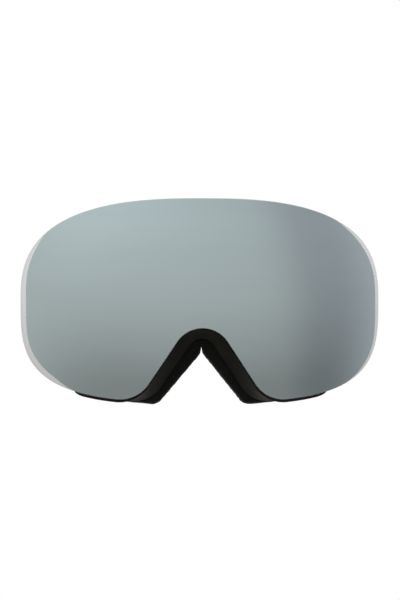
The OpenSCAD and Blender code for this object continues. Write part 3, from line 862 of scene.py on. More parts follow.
def fleece_finish():
    """Short brushed pile, with painted shade where the pile is low"""
    c, m = colours().fleece, Finish("brushed_fleece")
    place = m.place()
    pile = m.noise(place, 1400, 4, 0.7)
    nap = m.noise(place, 130, 3)
    # Painted shade: the base colour follows the pile's height, darker where it is low and lighter on raised
    # tufts
    m.set(Base_Color=m.mix(pile.over(0.3, 0.7), shade(c, 0.5), shade(c, 1.7)), Roughness=0.92 + nap * 0.08,
          Sheen_Weight=0.25, Sheen_Roughness=0.5, Specular_IOR_Level=0.15)
    m.bump(pile + nap * 0.8, 0.9, 0.6 * MM)
    return m.material


def webbing_finish():
    """Woven elastic: rows across, columns along, and a corded selvedge at both edges"""
    c, sizes, m = colours().webbing, strap_sizes(), Finish("woven_elastic")
    column_pitch, row_pitch, cord_pitch, blur = 1.6 * MM, 1.3 * MM, 1.1 * MM, 0.4 * MM
    across, along, _ = m.axes(m.place("UV"))
    column = across.wave(column_pitch)
    row = (along * (2 * math.pi / row_pitch) + column.over(-0.2, 0.2) * math.pi).sine()
    middle = sizes.width / 2 - sizes.selvedge
    edge = abs(across).over(middle - blur, middle)
    cord = abs(across).wave(cord_pitch)
    weave = row * 0.6 + abs(column) * 0.5
    height = weave * (1 - edge) + (cord * 0.5 + row * 0.2) * edge
    fuzz = m.noise(m.place(), 900, 3)
    # Painted shade and light: the base colour follows the weave's height, darker in its dips and lighter on
    # raised threads
    m.set(Base_Color=m.mix(height.over(-0.6, 1.0), shade(c, 0.45), shade(c, 1.7)),
          Roughness=0.72 + fuzz * 0.22, Sheen_Weight=0.15, Sheen_Roughness=0.5, Specular_IOR_Level=0.3)
    m.bump(height + fuzz * 0.4, 0.7, 0.3 * MM)
    return m.material


def thread_finish():
    """Twisted sewing thread, with painted shade in the twist's grooves and painted light on its crests"""
    m = Finish("sewing_thread")
    # Painted shade and light: a shaded and a lit copy of the thread's colour, laid on the twist's grooves
    # and crests
    dark, light = (0.02, 0.02, 0.021), (0.055, 0.055, 0.058)
    _, y, z = m.axes(m.place())
    twist = (y + z).wave(0.5 * MM)
    m.set(Base_Color=m.mix(twist.over(-1, 1), shade(dark, 1), shade(light, 1)), Roughness=0.6)
    m.bump(twist, 0.4, 0.1 * MM)
    return m.material


def silicone_finish():
    """Printed silicone: smooth, slightly orange-peeled"""
    c, m = colours().silicone, Finish("printed_silicone")
    peel = m.noise(m.place(), 700, 2)
    m.set(Base_Color=m.mix(peel, shade(c, 0.85), shade(c, 1.15)), Roughness=0.28 + peel * 0.15)
    m.bump(peel, 0.25, 0.2 * MM)
    return m.material


def metal_finish(name, rgb, rough, grain):
    """Bright metal with a grain, which is long on a turned piece and even on a plated one"""
    m = Finish(name)
    place = m.place()
    stain = m.noise(place, 500, 3)
    lines = m.noise(m.stretched(place, grain), 1, 2)
    m.set(Base_Color=m.mix(stain.over(0.35, 0.75), shade(rgb, 0.9), shade(rgb, 1.05)), Metallic=1.0,
          Roughness=rough + (lines - 0.5) * 0.16)
    m.bump(lines, 0.15, 0.05 * MM)
    return m.material


def finishes():
    """Each material once, by its slot in the record; clear and thread have no slot of their own"""
    c = colours()
    return {
        "mirror_lens": mirror_finish(),
        "clear": clear_finish(),
        "inner_lens": tint_finish(),
        "spacer_foam": foam_finish("spacer_foam", c.filter, cell=0.4 * MM, sheen=0.05),
        "hard_plastic": moulded_finish("moulded_plastic", c.plastic, rough=0.5, gloss=0.45,
                                       grain=0.45 * MM, depth=0.12 * MM),
        "soft_frame": moulded_finish("soft_frame_plastic", c.soft_frame, rough=0.55, gloss=0.05,
                                     grain=0.6 * MM, depth=0.08 * MM),
        "filter_foam": foam_finish("vent_filter_foam", c.filter, cell=0.9 * MM, sheen=0.05),
        "face_foam": foam_finish("face_foam", c.foam, cell=0.7 * MM, sheen=0.04),
        "fleece": fleece_finish(),
        "strap_webbing": webbing_finish(),
        "thread": thread_finish(),
        "silicone": silicone_finish(),
        "pin_steel": metal_finish("turned_steel", c.steel, rough=0.3, grain=(400, 400, 9000)),
        "magnet": metal_finish("nickel_plate", c.nickel, rough=0.22, grain=(2500, 2500, 2500)),
    }


FINISH = {}


# Lens unit

POCKET_REACH = 1 * MM    # cutters of the magnets' pockets past the face that they open in


class Crescent(NamedTuple):
    """The uncoated border at one side of the lens: height of its middle, and width in clear borders"""
    middle: float
    width: float


CRESCENTS = {"left": Crescent(-7.5 * MM, 1.45), "right": Crescent(0, 0.92)}
CRESCENT_REACH = 42 * MM    # from its middle to its tips
CRESCENT_POWER = 2.5
CRESCENT_START = 62 * MM    # from the lens's middle to where it may begin
CRESCENT_FADE = 14 * MM


def clear_widths(outline):
    """Width of the uncoated border at each point of the lens's outline, seen from the front: a crescent at
    each side, of which the left one is wider and hangs lower"""
    lens, sh = lens_sizes(), Shape()
    loop = outline.loop()
    left, right = CRESCENTS["left"], CRESCENTS["right"]
    on_left = loop[:, 0] < 0
    away = np.abs(loop[:, 1] - np.where(on_left, left.middle, right.middle)) / CRESCENT_REACH
    share = np.clip(1 - away ** CRESCENT_POWER, 0, 1) * np.where(on_left, left.width, right.width)
    share *= smooth_step((np.abs(loop[:, 0]) - CRESCENT_START) / CRESCENT_FADE)
    tilt = np.abs((sh.lens_normal(loop, 0)[:, [0, 2]] * inward(loop)).sum(1))
    return lens.clear_rim + lens.clear_border * share * np.sqrt(1 - np.clip(tilt, 0, 0.99) ** 2)


def lens_sheet(name, outline, s, thick, border, pitch, rim=0.2 * MM):
    """A toric sheet cut square to its surface, with its rims eased. The front is filled inside the border,
    whose width is given for each point of the loop. Faces of the coated front have material 1."""
    sh = Shape()
    loop = outline.loop()
    n = len(loop)
    normals = inward(loop)
    coat = loop + normals * border[:, None]
    points, tris = filled(coat, pitch)
    front, out = sh.on_lens(points, s), sh.lens_normal(points, s)
    rim_loop = loop + normals * rim
    border_loops = [coat + (rim_loop - coat) * t for t in (1 / 3, 2 / 3, 1)]
    sides = ([(p, 0) for p in border_loops] + [(loop, rim), (loop, thick - rim)]
             + [(p, thick) for p in reversed(border_loops)])
    layers = [sh.on_lens(p, s) - sh.lens_normal(p, s) * depth for p, depth in sides]
    verts = np.vstack([front, *layers, front - out * thick])
    rear = len(verts) - len(front)
    faces = [tuple(t) for t in tris] + [tuple(rear + i for i in reversed(t)) for t in tris]
    chains = [0, *(len(front) + k * n for k in range(len(sides))), rear]
    for a, b in zip(chains, chains[1:]):
        faces += [(a + i, a + (i + 1) % n, b + (i + 1) % n, b + i) for i in range(n)]
    obj = new_object(name, verts, faces)
    marks = np.zeros(len(obj.data.polygons), np.int32)
    marks[:len(tris)] = 1
    obj.data.polygons.foreach_set("material_index", marks)
    return soften(obj, 12)


def lens_ring(name, s, thick, edge, width, round_off):
    """A ring behind the lens, from s to s + thick, set back from the lens's edge"""
    sh = Shape()
    out, inn = sh.edge.inset(edge).loop(), sh.edge.inset(edge + width).loop()
    loops = [sh.on_lens(p, d) for p, d in ((out, s), (out, s + thick), (inn, s + thick), (inn, s))]
    return ring(name, rounded(loops, [round_off] * 4))


def magnet_pockets(name, front, deep):
    """Cutters for the magnets' pockets; front is where they start behind the carrier's back face"""
    sh = Shape()
    spots, normals = sh.magnet_spots()
    wide = lens_sizes().magnet_diameter + 2 * sh.magnet_gap
    return scatter(name, spots - normals * front, turned_to(normals), disc(name + "_one", 0),
                   (wide, wide, deep), None)


class GOGGLES_OT_lens(bpy.types.Operator):
    """Outer lens with its mirror coating, inner lens, spacer and carrier"""
    bl_idname = "goggles.lens"
    bl_label = "Lens unit"
    outer_pitch = 2.6 * MM    # points on each lens
    inner_pitch = 4 * MM
    inner_border = 1 * MM
    spacer_round = 0.5 * MM
    carrier_round = 0.6 * MM

    def execute(self, context):
        lens, sh = lens_sizes(), Shape()
        outer = lens_sheet("outer_lens_mirror", sh.edge, 0, lens.thickness, clear_widths(sh.edge),
                           self.outer_pitch)
        wear(outer, FINISH["clear"], FINISH["mirror_lens"])
        slot_of(outer, "lens", "mirror_lens", "outer_lens")
        outline = sh.edge.inset(sh.inner_edge)
        border = np.full(len(outline.loop()), self.inner_border)
        inner = lens_sheet("inner_lens_sheet", outline, sh.inner, lens.inner_thickness, border,
                           self.inner_pitch)
        wear(inner, FINISH["inner_lens"], FINISH["inner_lens"])
        slot_of(inner, "lens", "inner_lens", "inner_lens")
        spacer = lens_ring("lens_spacer", sh.bonded, lens.spacer_thickness, sh.inner_edge,
                           lens.spacer_width, self.spacer_round)
        dress(spacer, "lens", "spacer_foam", "lens_gasket")
        carrier = lens_ring("lens_carrier_ring", sh.bonded, lens.carrier_thickness, lens.carrier_edge,
                            lens.carrier_width, self.carrier_round)
        carve(carrier, magnet_pockets("carrier_pockets", -sh.pocket, sh.pocket + POCKET_REACH))
        dress(soften(carrier), "lens", "hard_plastic", "lens_carrier")
        return {"FINISHED"}


class GOGGLES_OT_magnets(bpy.types.Operator):
    """Magnets in the lens carrier and in the frame's seat"""
    bl_idname = "goggles.magnets"
    bl_label = "Magnets"

    def execute(self, context):
        lens, sh = lens_sizes(), Shape()
        spots, normals = sh.magnet_spots()
        wide, thick = lens.magnet_diameter, lens.magnet_thickness
        for body, front in (("lens", -thick - sh.magnet_gap), ("frame", sh.seat_gap + sh.magnet_gap)):
            name = body + "_magnet_discs"
            made = scatter(name, spots - normals * front, turned_to(normals), disc(name + "_one"),
                           (wide, wide, thick), FINISH["magnet"])
            slot_of(made, body, "magnet", body + "_magnets")
        return {"FINISHED"}


# Frame and face foam

VENT_CUT = 22 * MM      # length of the vents' cutters
LIP_BEFORE = 1 * MM     # start of the lip, towards the nose from where the lobe's rounding ends
LIP_IN = 0.2 * MM       # lip behind the seat's front, and in front of its back
LIP_ROUND = 0.5 * MM


def vent_cutters(name):
    """Slots along the top and below the eyes"""
    body, sh = frame_sizes(), Shape()
    top = (np.arange(body.top_vents) - (body.top_vents - 1) / 2) * body.vent_pitch
    low = sh.lobe_x + np.arange(body.lower_vents) * body.vent_pitch

    def half_depth(xs, curve):
        """Points of the wall at half depth, on the upper or the lower curve"""
        front = np.column_stack([xs, curve(sh.seat_out, xs)])
        rear = np.column_stack([xs, curve(sh.rear_out, xs)])
        y = (sh.lens_y(front, sh.seat) + body.seat + sh.face_y(rear) - sh.pad - body.flange) / 2
        return np.column_stack([xs, y, rear[:, 1]])

    spots, turns = [], []
    for xs, curve in ((top, Outline.upper_z), (low, Outline.lower_z), (-low, Outline.lower_z)):
        spots.append(half_depth(xs, curve))
        step = half_depth(xs + MM / 2, curve) - half_depth(xs - MM / 2, curve)
        turns += [(0, 0, a) for a in np.arctan(step[:, 1] / MM)]
    piece = rounded_slot(name + "_one", body.vent_length, body.vent_width, VENT_CUT)
    return scatter(name, np.vstack(spots), turns, piece, (1, 1, 1), None)


def chin_lip(name, side, steps=12):
    """Lip that carries the frame's lower edge on along the lens, rounded off at its outer end"""
    body, sh = frame_sizes(), Shape()
    end, run_out = lens_sizes().width / 2 - body.lip_side, body.lip_run_out
    bend = np.linspace(0, math.pi / 2, 9)
    xs = np.append(np.linspace(sh.lobe_x - LIP_BEFORE, end - run_out, steps)[:-1],
                   end - run_out * (1 - np.sin(bend)))
    shown = np.append(np.ones(steps - 1), np.cos(bend)) * body.lip
    low, high = sh.edge.lower_z(xs) - shown, sh.seat_out.lower_z(xs) + body.wall
    front, back = LIP_IN, body.seat - LIP_IN
    loops = [sh.on_lens(np.column_stack([xs, z]), sh.seat, d) * [side, 1, 1]
             for z, d in ((low, front), (high, front), (high, back), (low, back))]
    return strip(name, list(np.stack(rounded(loops, [LIP_ROUND, 0, 0, LIP_ROUND]), axis=1)))


class GOGGLES_OT_frame(bpy.types.Operator):
    """Frame: front seat, drawn-in wall with vents, rear flange and hinge pads"""
    bl_idname = "goggles.frame"
    bl_label = "Frame"
    front_round = 0.9 * MM
    wall_round = 0.7 * MM
    flange_round = 0.8 * MM
    seat_round = 0.6 * MM
    pad_depth = 5 * MM
    pad_gap = 0.02 * MM    # hinge pad to its bracket
    pad_round = 0.5 * MM

    def execute(self, context):
        body, sh = frame_sizes(), Shape()
        rear_out, rear_in = sh.rear_out.loop(), sh.rear_in.loop()
        seat_out, seat_in = sh.seat_out.loop(), sh.seat_in.loop()
        outer, inner = sh.wall(0), sh.wall(body.wall)
        loops = [sh.on_lens(seat_out, sh.seat), *outer,
                 sh.on_face(rear_out, sh.pad), sh.on_face(rear_in, sh.pad),
                 sh.on_face(rear_in, sh.pad + body.flange), *reversed(inner),
                 sh.on_lens(seat_in, sh.seat, body.seat), sh.on_lens(seat_in, sh.seat)]
        radii = [self.front_round, self.wall_round, *[0] * (len(outer) - 2), self.wall_round,
                 *[self.flange_round] * 3, *[0] * len(inner), *[self.seat_round] * 2]
        made = ring("frame_shell", rounded(loops, radii))
        for side, k in SIDES.items():
            low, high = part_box(side + "_hinge_bracket")
            pad = box_of("hinge_pad", (low.x, low.y - self.pad_depth, low.z),
                         (high.x, low.y - self.pad_gap, high.z), self.pad_round)
            carve(made, pad, "UNION")
            carve(made, chin_lip("chin_lip", k), "UNION")
        carve(made, vent_cutters("vent_slots"))
        carve(made, magnet_pockets("seat_pockets", sh.seat_gap - POCKET_REACH, sh.pocket + POCKET_REACH))
        dress(soften(made), "frame", "soft_frame", "frame")
        return {"FINISHED"}


class GOGGLES_OT_filters(bpy.types.Operator):
    """Open-cell filters behind the vents"""
    bl_idname = "goggles.filters"
    bl_label = "Vent filters"
    front, rear = 0.18, 0.82    # shares of the wall's depth
    past = 2 * MM               # past the last vent
    round_off = 0.5 * MM
    lobe_points = 5             # points of the lobe that the lower filters reach along
    fill = 0.9

    def execute(self, context):
        body, sh = frame_sizes(), Shape()
        near = body.neck + body.wall + sh.soft_gap
        far = near + body.filter
        loops = [sh.wall_at(d, t) for d, t in ((near, self.front), (near, self.rear), (far, self.rear),
                                               (far, self.front))]
        section = np.stack(rounded(loops, [self.round_off] * 4), axis=1)
        x = sh.rear_out.loop()[:, 0]
        end = ((body.top_vents - 1) * body.vent_pitch + body.vent_length) / 2 + self.past
        top = [section[i] for i in range(-FINE.up, FINE.up) if abs(x[i]) < end]
        dress(strip("top_filter_foam", top), "frame", "filter_foam", "top_vent_filter", fill=self.fill)
        end = sh.lobe_x + (body.lower_vents - 1) * body.vent_pitch + body.vent_length / 2 + self.past
        low = [section[i] for i in range(FINE.up, FINE.up + FINE.down + self.lobe_points) if x[i] < end]
        for side, k in SIDES.items():
            made = strip("lower_filter_foam_" + side, [s * [k, 1, 1] for s in low])
            dress(made, "frame", "filter_foam", "lower_vent_filters", fill=self.fill)
        return {"FINISHED"}


def wander(points, size, amount, seed, waves=9):
    """Small even wandering of points, made of sines"""
    rng = np.random.default_rng(seed)
    moved = np.zeros_like(points)
    for _ in range(waves):
        wave = rng.normal(size=3)
        wave *= 2 * math.pi / size / np.linalg.norm(wave) * rng.uniform(0.6, 1.6)
        push = rng.normal(size=3)
        moved += np.sin(points @ wave + rng.uniform(0, 6.3))[:, None] * push / np.linalg.norm(push)
    return points + moved * amount / math.sqrt(waves)


def foam_loop(outline, inner_outline, share):
    """A loop between the outer and inner outline, with the slit where the foam's ends meet at the nose"""
    body = frame_sizes()
    out, inn = outline.loop(FOAM_POINTS), inner_outline.loop(FOAM_POINTS)
    near = np.exp(-(out[:, 0] / body.slit_width) ** 2) * (out[:, 1] < 0)
    out = out + np.column_stack([np.zeros(len(out)), near * body.slit_height])
    return out + (inn - out) * share


class FoamRing(NamedTuple):
    """A foam ring: depths of its front and back, how far its sides bulge, and how it is filled"""
    name: str
    node: str
    front: float
    back: float
    bulge: float
    fill: float
    seed: int


class GOGGLES_OT_face_foam(bpy.types.Operator):
    """Two foam rings and the fleece that lies on the face"""
    bl_idname = "goggles.face_foam"
    bl_label = "Face foam"
    levels = 9                       # loops from a ring's front to its back
    between = 0.25, 0.5, 0.75        # loops across it
    edge_round = 0.7 * MM
    crease = 60                      # degrees, past which an edge stays sharp
    ring_crumb = 1.7 * MM            # lengths over which the cut edges wander
    fleece_crumb = 1.5 * MM
    fleece_ragged = 0.8              # wandering of the fleece as a share of the foam's
    fleece_fill = 0.5
    fleece_seed = 3
    fleece_swell = 0.012             # how far its edges swell, as a share of its width
    # Half of its section, from the edge inwards: share across, and depth as a share of its thickness
    pile = ((0.02, 0.24), (0.08, 0.1), (0.18, 0.03), (0.34, 0))
    crown = 0.5, -0.02               # the same for its middle

    def execute(self, context):
        body, gap = frame_sizes(), Shape.soft_gap
        soft_front = body.comfort_foam + body.fleece
        firm_front = soft_front + body.base_foam
        for foam in (FoamRing("firm_foam_ring", "face_foam_base", firm_front - gap, soft_front,
                              bulge=0.6 * MM, fill=0.9, seed=1),
                     FoamRing("soft_foam_ring", "face_foam_comfort", soft_front - gap, body.fleece,
                              bulge=0.8 * MM, fill=0.7, seed=2)):
            made = ring(foam.name, [wander(p, self.ring_crumb, body.ragged, foam.seed)
                                    for p in self.foam_loops(foam)])
            dress(soften(made, self.crease), "frame", "face_foam", foam.node, fill=foam.fill)
        ragged = body.ragged * self.fleece_ragged
        made = ring("face_fleece_ring", [wander(p, self.fleece_crumb, ragged, self.fleece_seed)
                                         for p in self.fleece_loops(body.fleece - gap, body.fleece)])
        dress(soften(made, self.crease), "frame", "fleece", "face_fleece", fill=self.fleece_fill)
        return {"FINISHED"}

    def foam_loops(self, foam):
        """Loops round a foam ring, whose sides swell at half depth"""
        sh = Shape()
        outer, inner = [], []
        for t in np.linspace(0, 1, self.levels):
            swell = foam.bulge * (1 - (2 * t - 1) ** 2) - 0.5 * foam.bulge
            depth = foam.front + (foam.back - foam.front) * t
            outer.append(sh.on_face(foam_loop(sh.foam_out.inset(-swell), sh.foam_in, 0), depth))
            inner.append(sh.on_face(foam_loop(sh.foam_out, sh.foam_in.inset(swell), 1), depth))
        flat = [foam_loop(sh.foam_out, sh.foam_in, s) for s in self.between]
        back = [sh.on_face(p, foam.back) for p in flat]
        front = [sh.on_face(p, foam.front) for p in reversed(flat)]
        wall = [self.edge_round, *[0] * (self.levels - 2), self.edge_round]
        plain_side = [0] * len(flat)
        return rounded(outer + back + inner[::-1] + front, wall + plain_side + wall + plain_side)

    def fleece_loops(self, front, full):
        """Loops round the fleece, which is full at its edges and crowned on the face"""
        sh = Shape()
        swell = -self.fleece_swell
        edge = [(0, front), (swell, front * 0.75), (swell, full * 0.5)]
        edge += [(s, full * d) for s, d in self.pile]
        middle, depth = self.crown
        profile = (edge + [(middle, depth * full)] + [(1 - s, d) for s, d in reversed(edge)]
                   + [(s, front) for s in reversed(self.between)])
        return [sh.on_face(foam_loop(sh.foam_out, sh.foam_in, s), d) for s, d in profile]


# Hinges, sliders and strap

class GOGGLES_OT_hinges(bpy.types.Operator):
    """Hinge brackets, pins and strap arms"""
    bl_idname = "goggles.hinges"
    bl_label = "Hinges and strap arms"

    def execute(self, context):
        for side in SIDES:
            for part, body, slot, edge in (("hinge_bracket", "frame", "hard_plastic", 0.35 * MM),
                                           ("hinge_pin", "frame", "pin_steel", 0.12 * MM),
                                           ("outrigger", side + "_outrigger", "hard_plastic", 0.4 * MM)):
                node = f"{side}_{part}"
                dress(eased_copy(node, node + "_moulded", edge), body, slot, node)
        return {"FINISHED"}


class GOGGLES_OT_sliders(bpy.types.Operator):
    """Sliders that set the strap's length"""
    bl_idname = "goggles.sliders"
    bl_label = "Strap sliders"
    edge = 0.4 * MM

    def execute(self, context):
        for side in SIDES:
            node = side + "_adjuster"
            dress(eased_copy(node, side + "_slider", self.edge), node, "hard_plastic", node)
        return {"FINISHED"}


def arc(centre, radius, a, b, step):
    return on_circle(centre, radius, np.linspace(a, b, max(3, int(abs(b - a) * radius / step))))


def straight(a, b, step):
    return np.linspace(a, b, max(2, int(np.linalg.norm(np.subtract(b, a)) / step) + 1))


def joined(*stretches):
    """One path of stretches, without the points that two of them share"""
    path = [stretches[0]]
    for s in stretches[1:]:
        path.append(s[1:] if np.allclose(path[-1][-1], s[0], atol=1e-6) else s)
    return np.vstack(path)


class StrapLine:
    """Where the middle of the strap's thickness runs on the right, read from the CAD strap"""
    seam_y = 60 * MM        # where the fold meets the outer layer and the return
    tongue_in = 2 * MM      # the strap's end inside the CAD loop's box
    step = 2 * MM           # between points on straight stretches
    head_step = 3 * MM      # round the head
    loop_step = 0.5 * MM    # round the slider's bar
    fold_step = 0.6 * MM    # round the arm's bar

    def __init__(self):
        self.half = strap_sizes().thickness / 2
        fold_low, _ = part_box("right_strap_fold")
        _, run_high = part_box("right_strap_run")
        return_low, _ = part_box("right_strap_return")
        loop_low, loop_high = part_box("right_sewn_loop")
        self.x_run = run_high.x - self.half
        self.x_return = return_low.x + self.half
        self.radius = (self.x_run - self.x_return) / 2
        self.bar = (self.x_run + self.x_return) / 2, fold_low.y + self.radius + self.half
        self.x_loop = loop_high.x - self.half
        self.loop_y = loop_low.y
        self.loop_radius = (self.x_loop - self.x_return) / 2
        self.turn = (self.x_loop + self.x_return) / 2, loop_high.y - self.loop_radius - self.half
        self.rear_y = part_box("rear_strap")[0].y

    def end(self):
        """From the strap's end round the slider's bar and along the return"""
        y = self.turn[1]
        return joined(straight((self.x_loop, self.loop_y + self.tongue_in), (self.x_loop, y), self.step),
                      arc(self.turn, self.loop_radius, 0, math.pi, self.loop_step),
                      straight((self.x_return, y), (self.x_return, self.seam_y), self.step))

    def fold(self):
        """From the return round the arm's bar to the outer layer"""
        y = self.bar[1]
        return joined(straight((self.x_return, self.seam_y), (self.x_return, y), self.step),
                      arc(self.bar, self.radius, math.pi, 2 * math.pi, self.fold_step),
                      straight((self.x_run, y), (self.x_run, self.seam_y), self.step))

    def round_head(self):
        """From the right seam round the back of the head to the left seam"""
        x, y = self.x_run, self.rear_y
        return joined(straight((x, self.seam_y), (x, y), self.head_step),
                      arc((0, y), x, 0, math.pi, self.head_step),
                      straight((-x, y), (-x, self.seam_y), self.head_step))


def strap_section():
    """The strap's section, across and through: a sunk weave between two selvedges with rounded edges"""
    sizes = strap_sizes()
    edge, sunk, slack = 0.5 * MM, 0.12 * MM, 0.1 * MM
    half, t = sizes.width / 2, sizes.thickness / 2
    inner = half - sizes.selvedge
    right = np.linspace(inner, half - edge, 4)
    across = np.concatenate([-right[::-1], np.linspace(edge - inner, inner - edge, 10), right])
    thick = np.where(np.abs(across) > inner - slack, t, t - sunk)
    bend = np.linspace(math.pi / 2, -math.pi / 2, 5)[1:-1]
    side = np.column_stack([half - edge + edge * np.cos(bend), t * np.sin(bend)])
    return np.vstack([np.column_stack([across, thick]), side,
                      np.column_stack([across[::-1], -thick[::-1]]), -side])


def webbing(name, path, start):
    """Strap along a path of [x, y] points, and the length used at its end; start is the length before it"""
    steps = np.linalg.norm(np.diff(path, axis=0), axis=1)
    along = start + np.concatenate([[0], np.cumsum(steps)])
    tangent = np.gradient(path, axis=0)
    tangent /= np.linalg.norm(tangent, axis=1, keepdims=True)
    normal = np.column_stack([tangent[:, 1], -tangent[:, 0]])
    section = strap_section()
    across, through = section[:, 0], section[:, 1:]
    sections = [np.column_stack([p + through * n, across]) for p, n in zip(path, normal)]
    uv = [np.column_stack([across, np.full(len(section), v)]) for v in along]
    return wear(strip(name, sections, np.vstack(uv)), FINISH["strap_webbing"]), along[-1]


class GOGGLES_OT_strap(bpy.types.Operator):
    """Elastic strap: its folds round the arms, its run round the head, its sewn ends and silicone lines"""
    bl_idname = "goggles.strap"
    bl_label = "Strap"
    grip_end = 0.02    # angle between a silicone line's end and the strap's straight stretch
    grip_steps = 155

    def execute(self, context):
        line = StrapLine()
        for side, k in SIDES.items():
            flip = np.array([k, 1])
            made, used = webbing(side + "_strap_return_layer", line.end() * flip, 0)
            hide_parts(side + "_strap_return", side + "_sewn_loop")
            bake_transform(made)
            made, used = webbing(side + "_strap_fold_layer", line.fold() * flip, used)
            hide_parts(side + "_strap_fold")
            line.bar[1] + 1.5 * MM
            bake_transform(made)
        made, _ = webbing("strap_round_head", line.round_head(), used)
        slot_of(made, "frame", "strap_webbing", "left_strap_run", "right_strap_run", "rear_strap")
        self.silicone_lines(line)
        return {"FINISHED"}

    def silicone_lines(self, line):
        """Bowed lines on the strap's inner face, round the back of the head"""
        sizes = strap_sizes()
        bow = np.linspace(0, math.pi, 9)
        across = np.cos(bow) * sizes.grip_width / 2
        reach = line.x_run - line.half - np.sin(bow) ** 0.6 * sizes.grip_height
        turns = np.linspace(self.grip_end, math.pi - self.grip_end, self.grip_steps)
        for row in range(3):
            z = across + (row - 1) * sizes.grip_pitch
            made = strip(f"silicone_line_{row}",
                         [np.column_stack([math.cos(t) * reach, line.rear_y + math.sin(t) * reach, z])
                          for t in turns])
            dress(made, "frame", "silicone", "strap_grip")


class GOGGLES_OT_stitching(bpy.types.Operator):
    """Rows of stitches that close the strap's sewn ends"""
    bl_idname = "goggles.stitching"
    bl_label = "Stitching"
    rows = 3.6 * MM, 6.6 * MM    # from the strap's end
    margin = 3 * MM              # from the strap's edges
    proud = 0.02 * MM            # middles of the stitches off the strap's face

    def execute(self, context):
        sizes = strap_sizes()
        low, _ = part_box("right_sewn_loop")
        n = int((sizes.width - 2 * self.margin) / sizes.stitch_pitch)
        zs = (np.arange(n) - (n - 1) / 2) * sizes.stitch_pitch
        for side, k in SIDES.items():
            spots = np.array([(k * (low.x - self.proud), low.y + y, z) for y in self.rows for z in zs])
            bm = bmesh.new()
            bmesh.ops.create_uvsphere(bm, u_segments=8, v_segments=6, radius=0.5)
            one = from_bmesh("one_stitch", bm)
            made = scatter(side + "_stitches", spots, np.zeros((len(spots), 3)), one,
                           (sizes.thread, sizes.thread, sizes.stitch), FINISH["thread"])
            slot_of(soften(made, 80), side + "_adjuster", "strap_webbing")
        return {"FINISHED"}


# Stage

class Softbox(NamedTuple):
    """A square light: its place, what it points at, its width and its power"""
    place: tuple
    aim: tuple
    width: float
    power: float


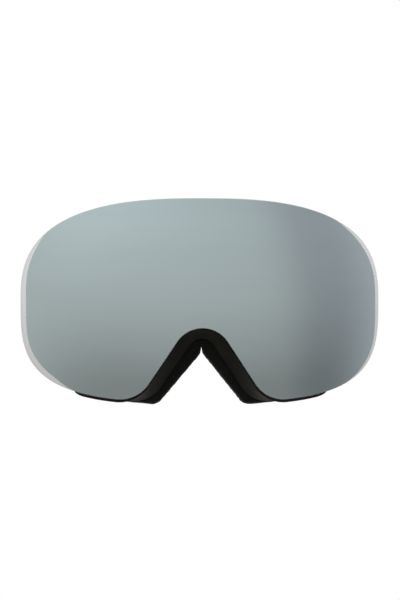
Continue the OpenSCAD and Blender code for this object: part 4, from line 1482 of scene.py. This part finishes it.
class GOGGLES_OT_stage(bpy.types.Operator):
    """Floor, soft lights, pale surroundings and the camera"""
    bl_idname = "goggles.stage"
    bl_label = "Stage and camera"
    floor_radius = 0.3
    floor_centre = 0, 0.1, -0.22
    softboxes = {"key_softbox": Softbox((-0.8, -1.2, 1.1), (0, 0, 0), 1.1, 14),
                 "fill_softbox": Softbox((1.2, -0.9, 0.5), (0, 0, 0), 0.9, 5),
                 "top_softbox": Softbox((0.1, 0.5, 1.4), (0, 0.05, 0), 1.4, 10)}
    camera_distance = 2.2
    camera_azimuth = -1.4      # degrees
    camera_elevation = 0
    view_height = 0.3078       # at what the camera points at
    aim = 0.0002, 0.013, 0.0001
    sensor = 36

    def execute(self, context):
        self.floor()
        self.surroundings()
        self.lights()
        self.camera()
        context.scene.view_settings.view_transform = "Standard"
        return {"FINISHED"}

    def floor(self):
        bm = bmesh.new()
        bmesh.ops.create_circle(bm, cap_ends=True, radius=self.floor_radius, segments=96)
        bmesh.ops.translate(bm, verts=bm.verts, vec=self.floor_centre)
        paint = Finish("pale_floor")
        speck = paint.noise(paint.place(), 40, 2)
        paint.set(Base_Color=paint.mix(speck, (0.86, 0.86, 0.86, 1), (0.9, 0.9, 0.9, 1)), Roughness=0.8)
        wear(from_bmesh("floor", bm), paint.material)

    def lights(self):
        """Softboxes, which the mirror doesn't show"""
        for name, box in self.softboxes.items():
            data = bpy.data.lights.new(name, "AREA")
            data.shape = "SQUARE"
            data.size = box.width
            data.energy = box.power
            light = add_object(name, data)
            light.location = box.place
            ahead = Vector(box.aim) - Vector(box.place)
            light.rotation_euler = ahead.to_track_quat("-Z", "Y").to_euler()
            light.visible_glossy = False

    def surroundings(self):
        """White behind the object, and for reflections a studio that darkens to the lower right"""
        world = bpy.data.worlds.new("studio")
        bpy.context.scene.world = world
        world.use_nodes = True
        world.node_tree.nodes.clear()
        build = NodeMaker(world.node_tree)
        x, y, z = build.axes(build.place("Generated"))
        below = z * -1
        turn = build.node("ShaderNodeMath", {"operation": "ARCTAN2"}, {0: x, 1: y * -1})
        dim = (turn + z * 0.35).over(0.87, 1.22)
        # Brighter above, with a dark side on the right that turns paler again behind
        level = 0.662 + z * 0.5 - z * z * 0.52 - x * 0.035 - x * z * 0.08
        level = level - dim * 0.21 + turn.over(1.57, 2.27) * 0.18
        # Dark far below, paler above on the left, and a little paler just below the middle
        level = level - below.over(0.4, 0.75) * 0.5 + (z - x * 0.6).over(0.65, 1.05) * 0.08
        level = level + below.over(0.0, 0.3) * (1 - abs(x).over(0.4, 0.9)) * 0.09
        level = build.node("ShaderNodeClamp", None, {"Value": level, "Min": 0.14, "Max": 1.0})
        path = build.outputs("ShaderNodeLightPath")
        seen = path["Is Camera Ray"]
        glossy = path["Is Glossy Ray"] * (1 - seen)
        white = seen.larger(path["Is Transmission Ray"])
        strength = white + (1 - white) * (glossy * level + (1 - glossy) * 0.55)
        tint = build.mix(z.over(-0.8, 0.8), (1, 0.97, 0.94, 1), (0.945, 0.98, 1, 1))
        tint = build.mix(glossy, (1, 1, 1, 1), build.mix(dim, tint, (0.955, 0.95, 1, 1)))
        light = build.node("ShaderNodeBackground", None, {"Color": tint, "Strength": strength})
        build.node("ShaderNodeOutputWorld", None, {"Surface": light})

    def camera(self):
        data = bpy.data.cameras.new("camera")
        data.sensor_fit = "AUTO"
        data.sensor_width = self.sensor
        data.lens = self.sensor * self.camera_distance / self.view_height
        data.clip_end = 50
        camera = add_object("camera", data)
        a, e = math.radians(self.camera_azimuth), math.radians(self.camera_elevation)
        back = Vector((math.sin(a) * math.cos(e), -math.cos(a) * math.cos(e), math.sin(e)))
        camera.location = Vector(self.aim) + back * self.camera_distance
        camera.rotation_euler = (-back).to_track_quat("-Z", "Y").to_euler()
        bpy.context.scene.camera = camera


class GOGGLES_PT_sidebar(bpy.types.Panel):
    """Sizes, colours and steps of the goggles"""
    bl_idname = "GOGGLES_PT_sidebar"
    bl_label = "Ski goggles"
    bl_space_type = "VIEW_3D"
    bl_region_type = "UI"
    bl_category = "Goggles"

    def draw(self, context):
        for name, group in GROUPS.items():
            box = self.layout.box()
            for key in group.__annotations__:
                box.prop(getattr(context.scene, name), key)
        for step in STEPS:
            self.layout.operator(step.bl_idname)


GROUPS = {"goggle_lens": GoggleLensSizes, "goggle_frame": GoggleFrameSizes,
          "goggle_strap": GoggleStrapSizes, "goggle_colours": GoggleColours}
STEPS = (GOGGLES_OT_stage, GOGGLES_OT_lens, GOGGLES_OT_magnets, GOGGLES_OT_frame, GOGGLES_OT_filters,
         GOGGLES_OT_face_foam, GOGGLES_OT_hinges, GOGGLES_OT_sliders, GOGGLES_OT_strap,
         GOGGLES_OT_stitching)
CLASSES = (*GROUPS.values(), *STEPS, GOGGLES_PT_sidebar)


def register():
    for c in CLASSES:
        bpy.utils.register_class(c)
    for name, group in GROUPS.items():
        setattr(bpy.types.Scene, name, bpy.props.PointerProperty(type=group))


def unregister():
    for name in GROUPS:
        delattr(bpy.types.Scene, name)
    for c in reversed(CLASSES):
        bpy.utils.unregister_class(c)


def main():
    register()
    FINISH.update(finishes())
    bpy.ops.goggles.stage()
    bpy.ops.goggles.lens()
    bpy.ops.goggles.magnets()
    bpy.ops.goggles.frame()
    bpy.ops.goggles.filters()
    bpy.ops.goggles.face_foam()
    bpy.ops.goggles.hinges()
    bpy.ops.goggles.sliders()
    bpy.ops.goggles.strap()
    bpy.ops.goggles.stitching()


if __name__ == "__main__":
    main()
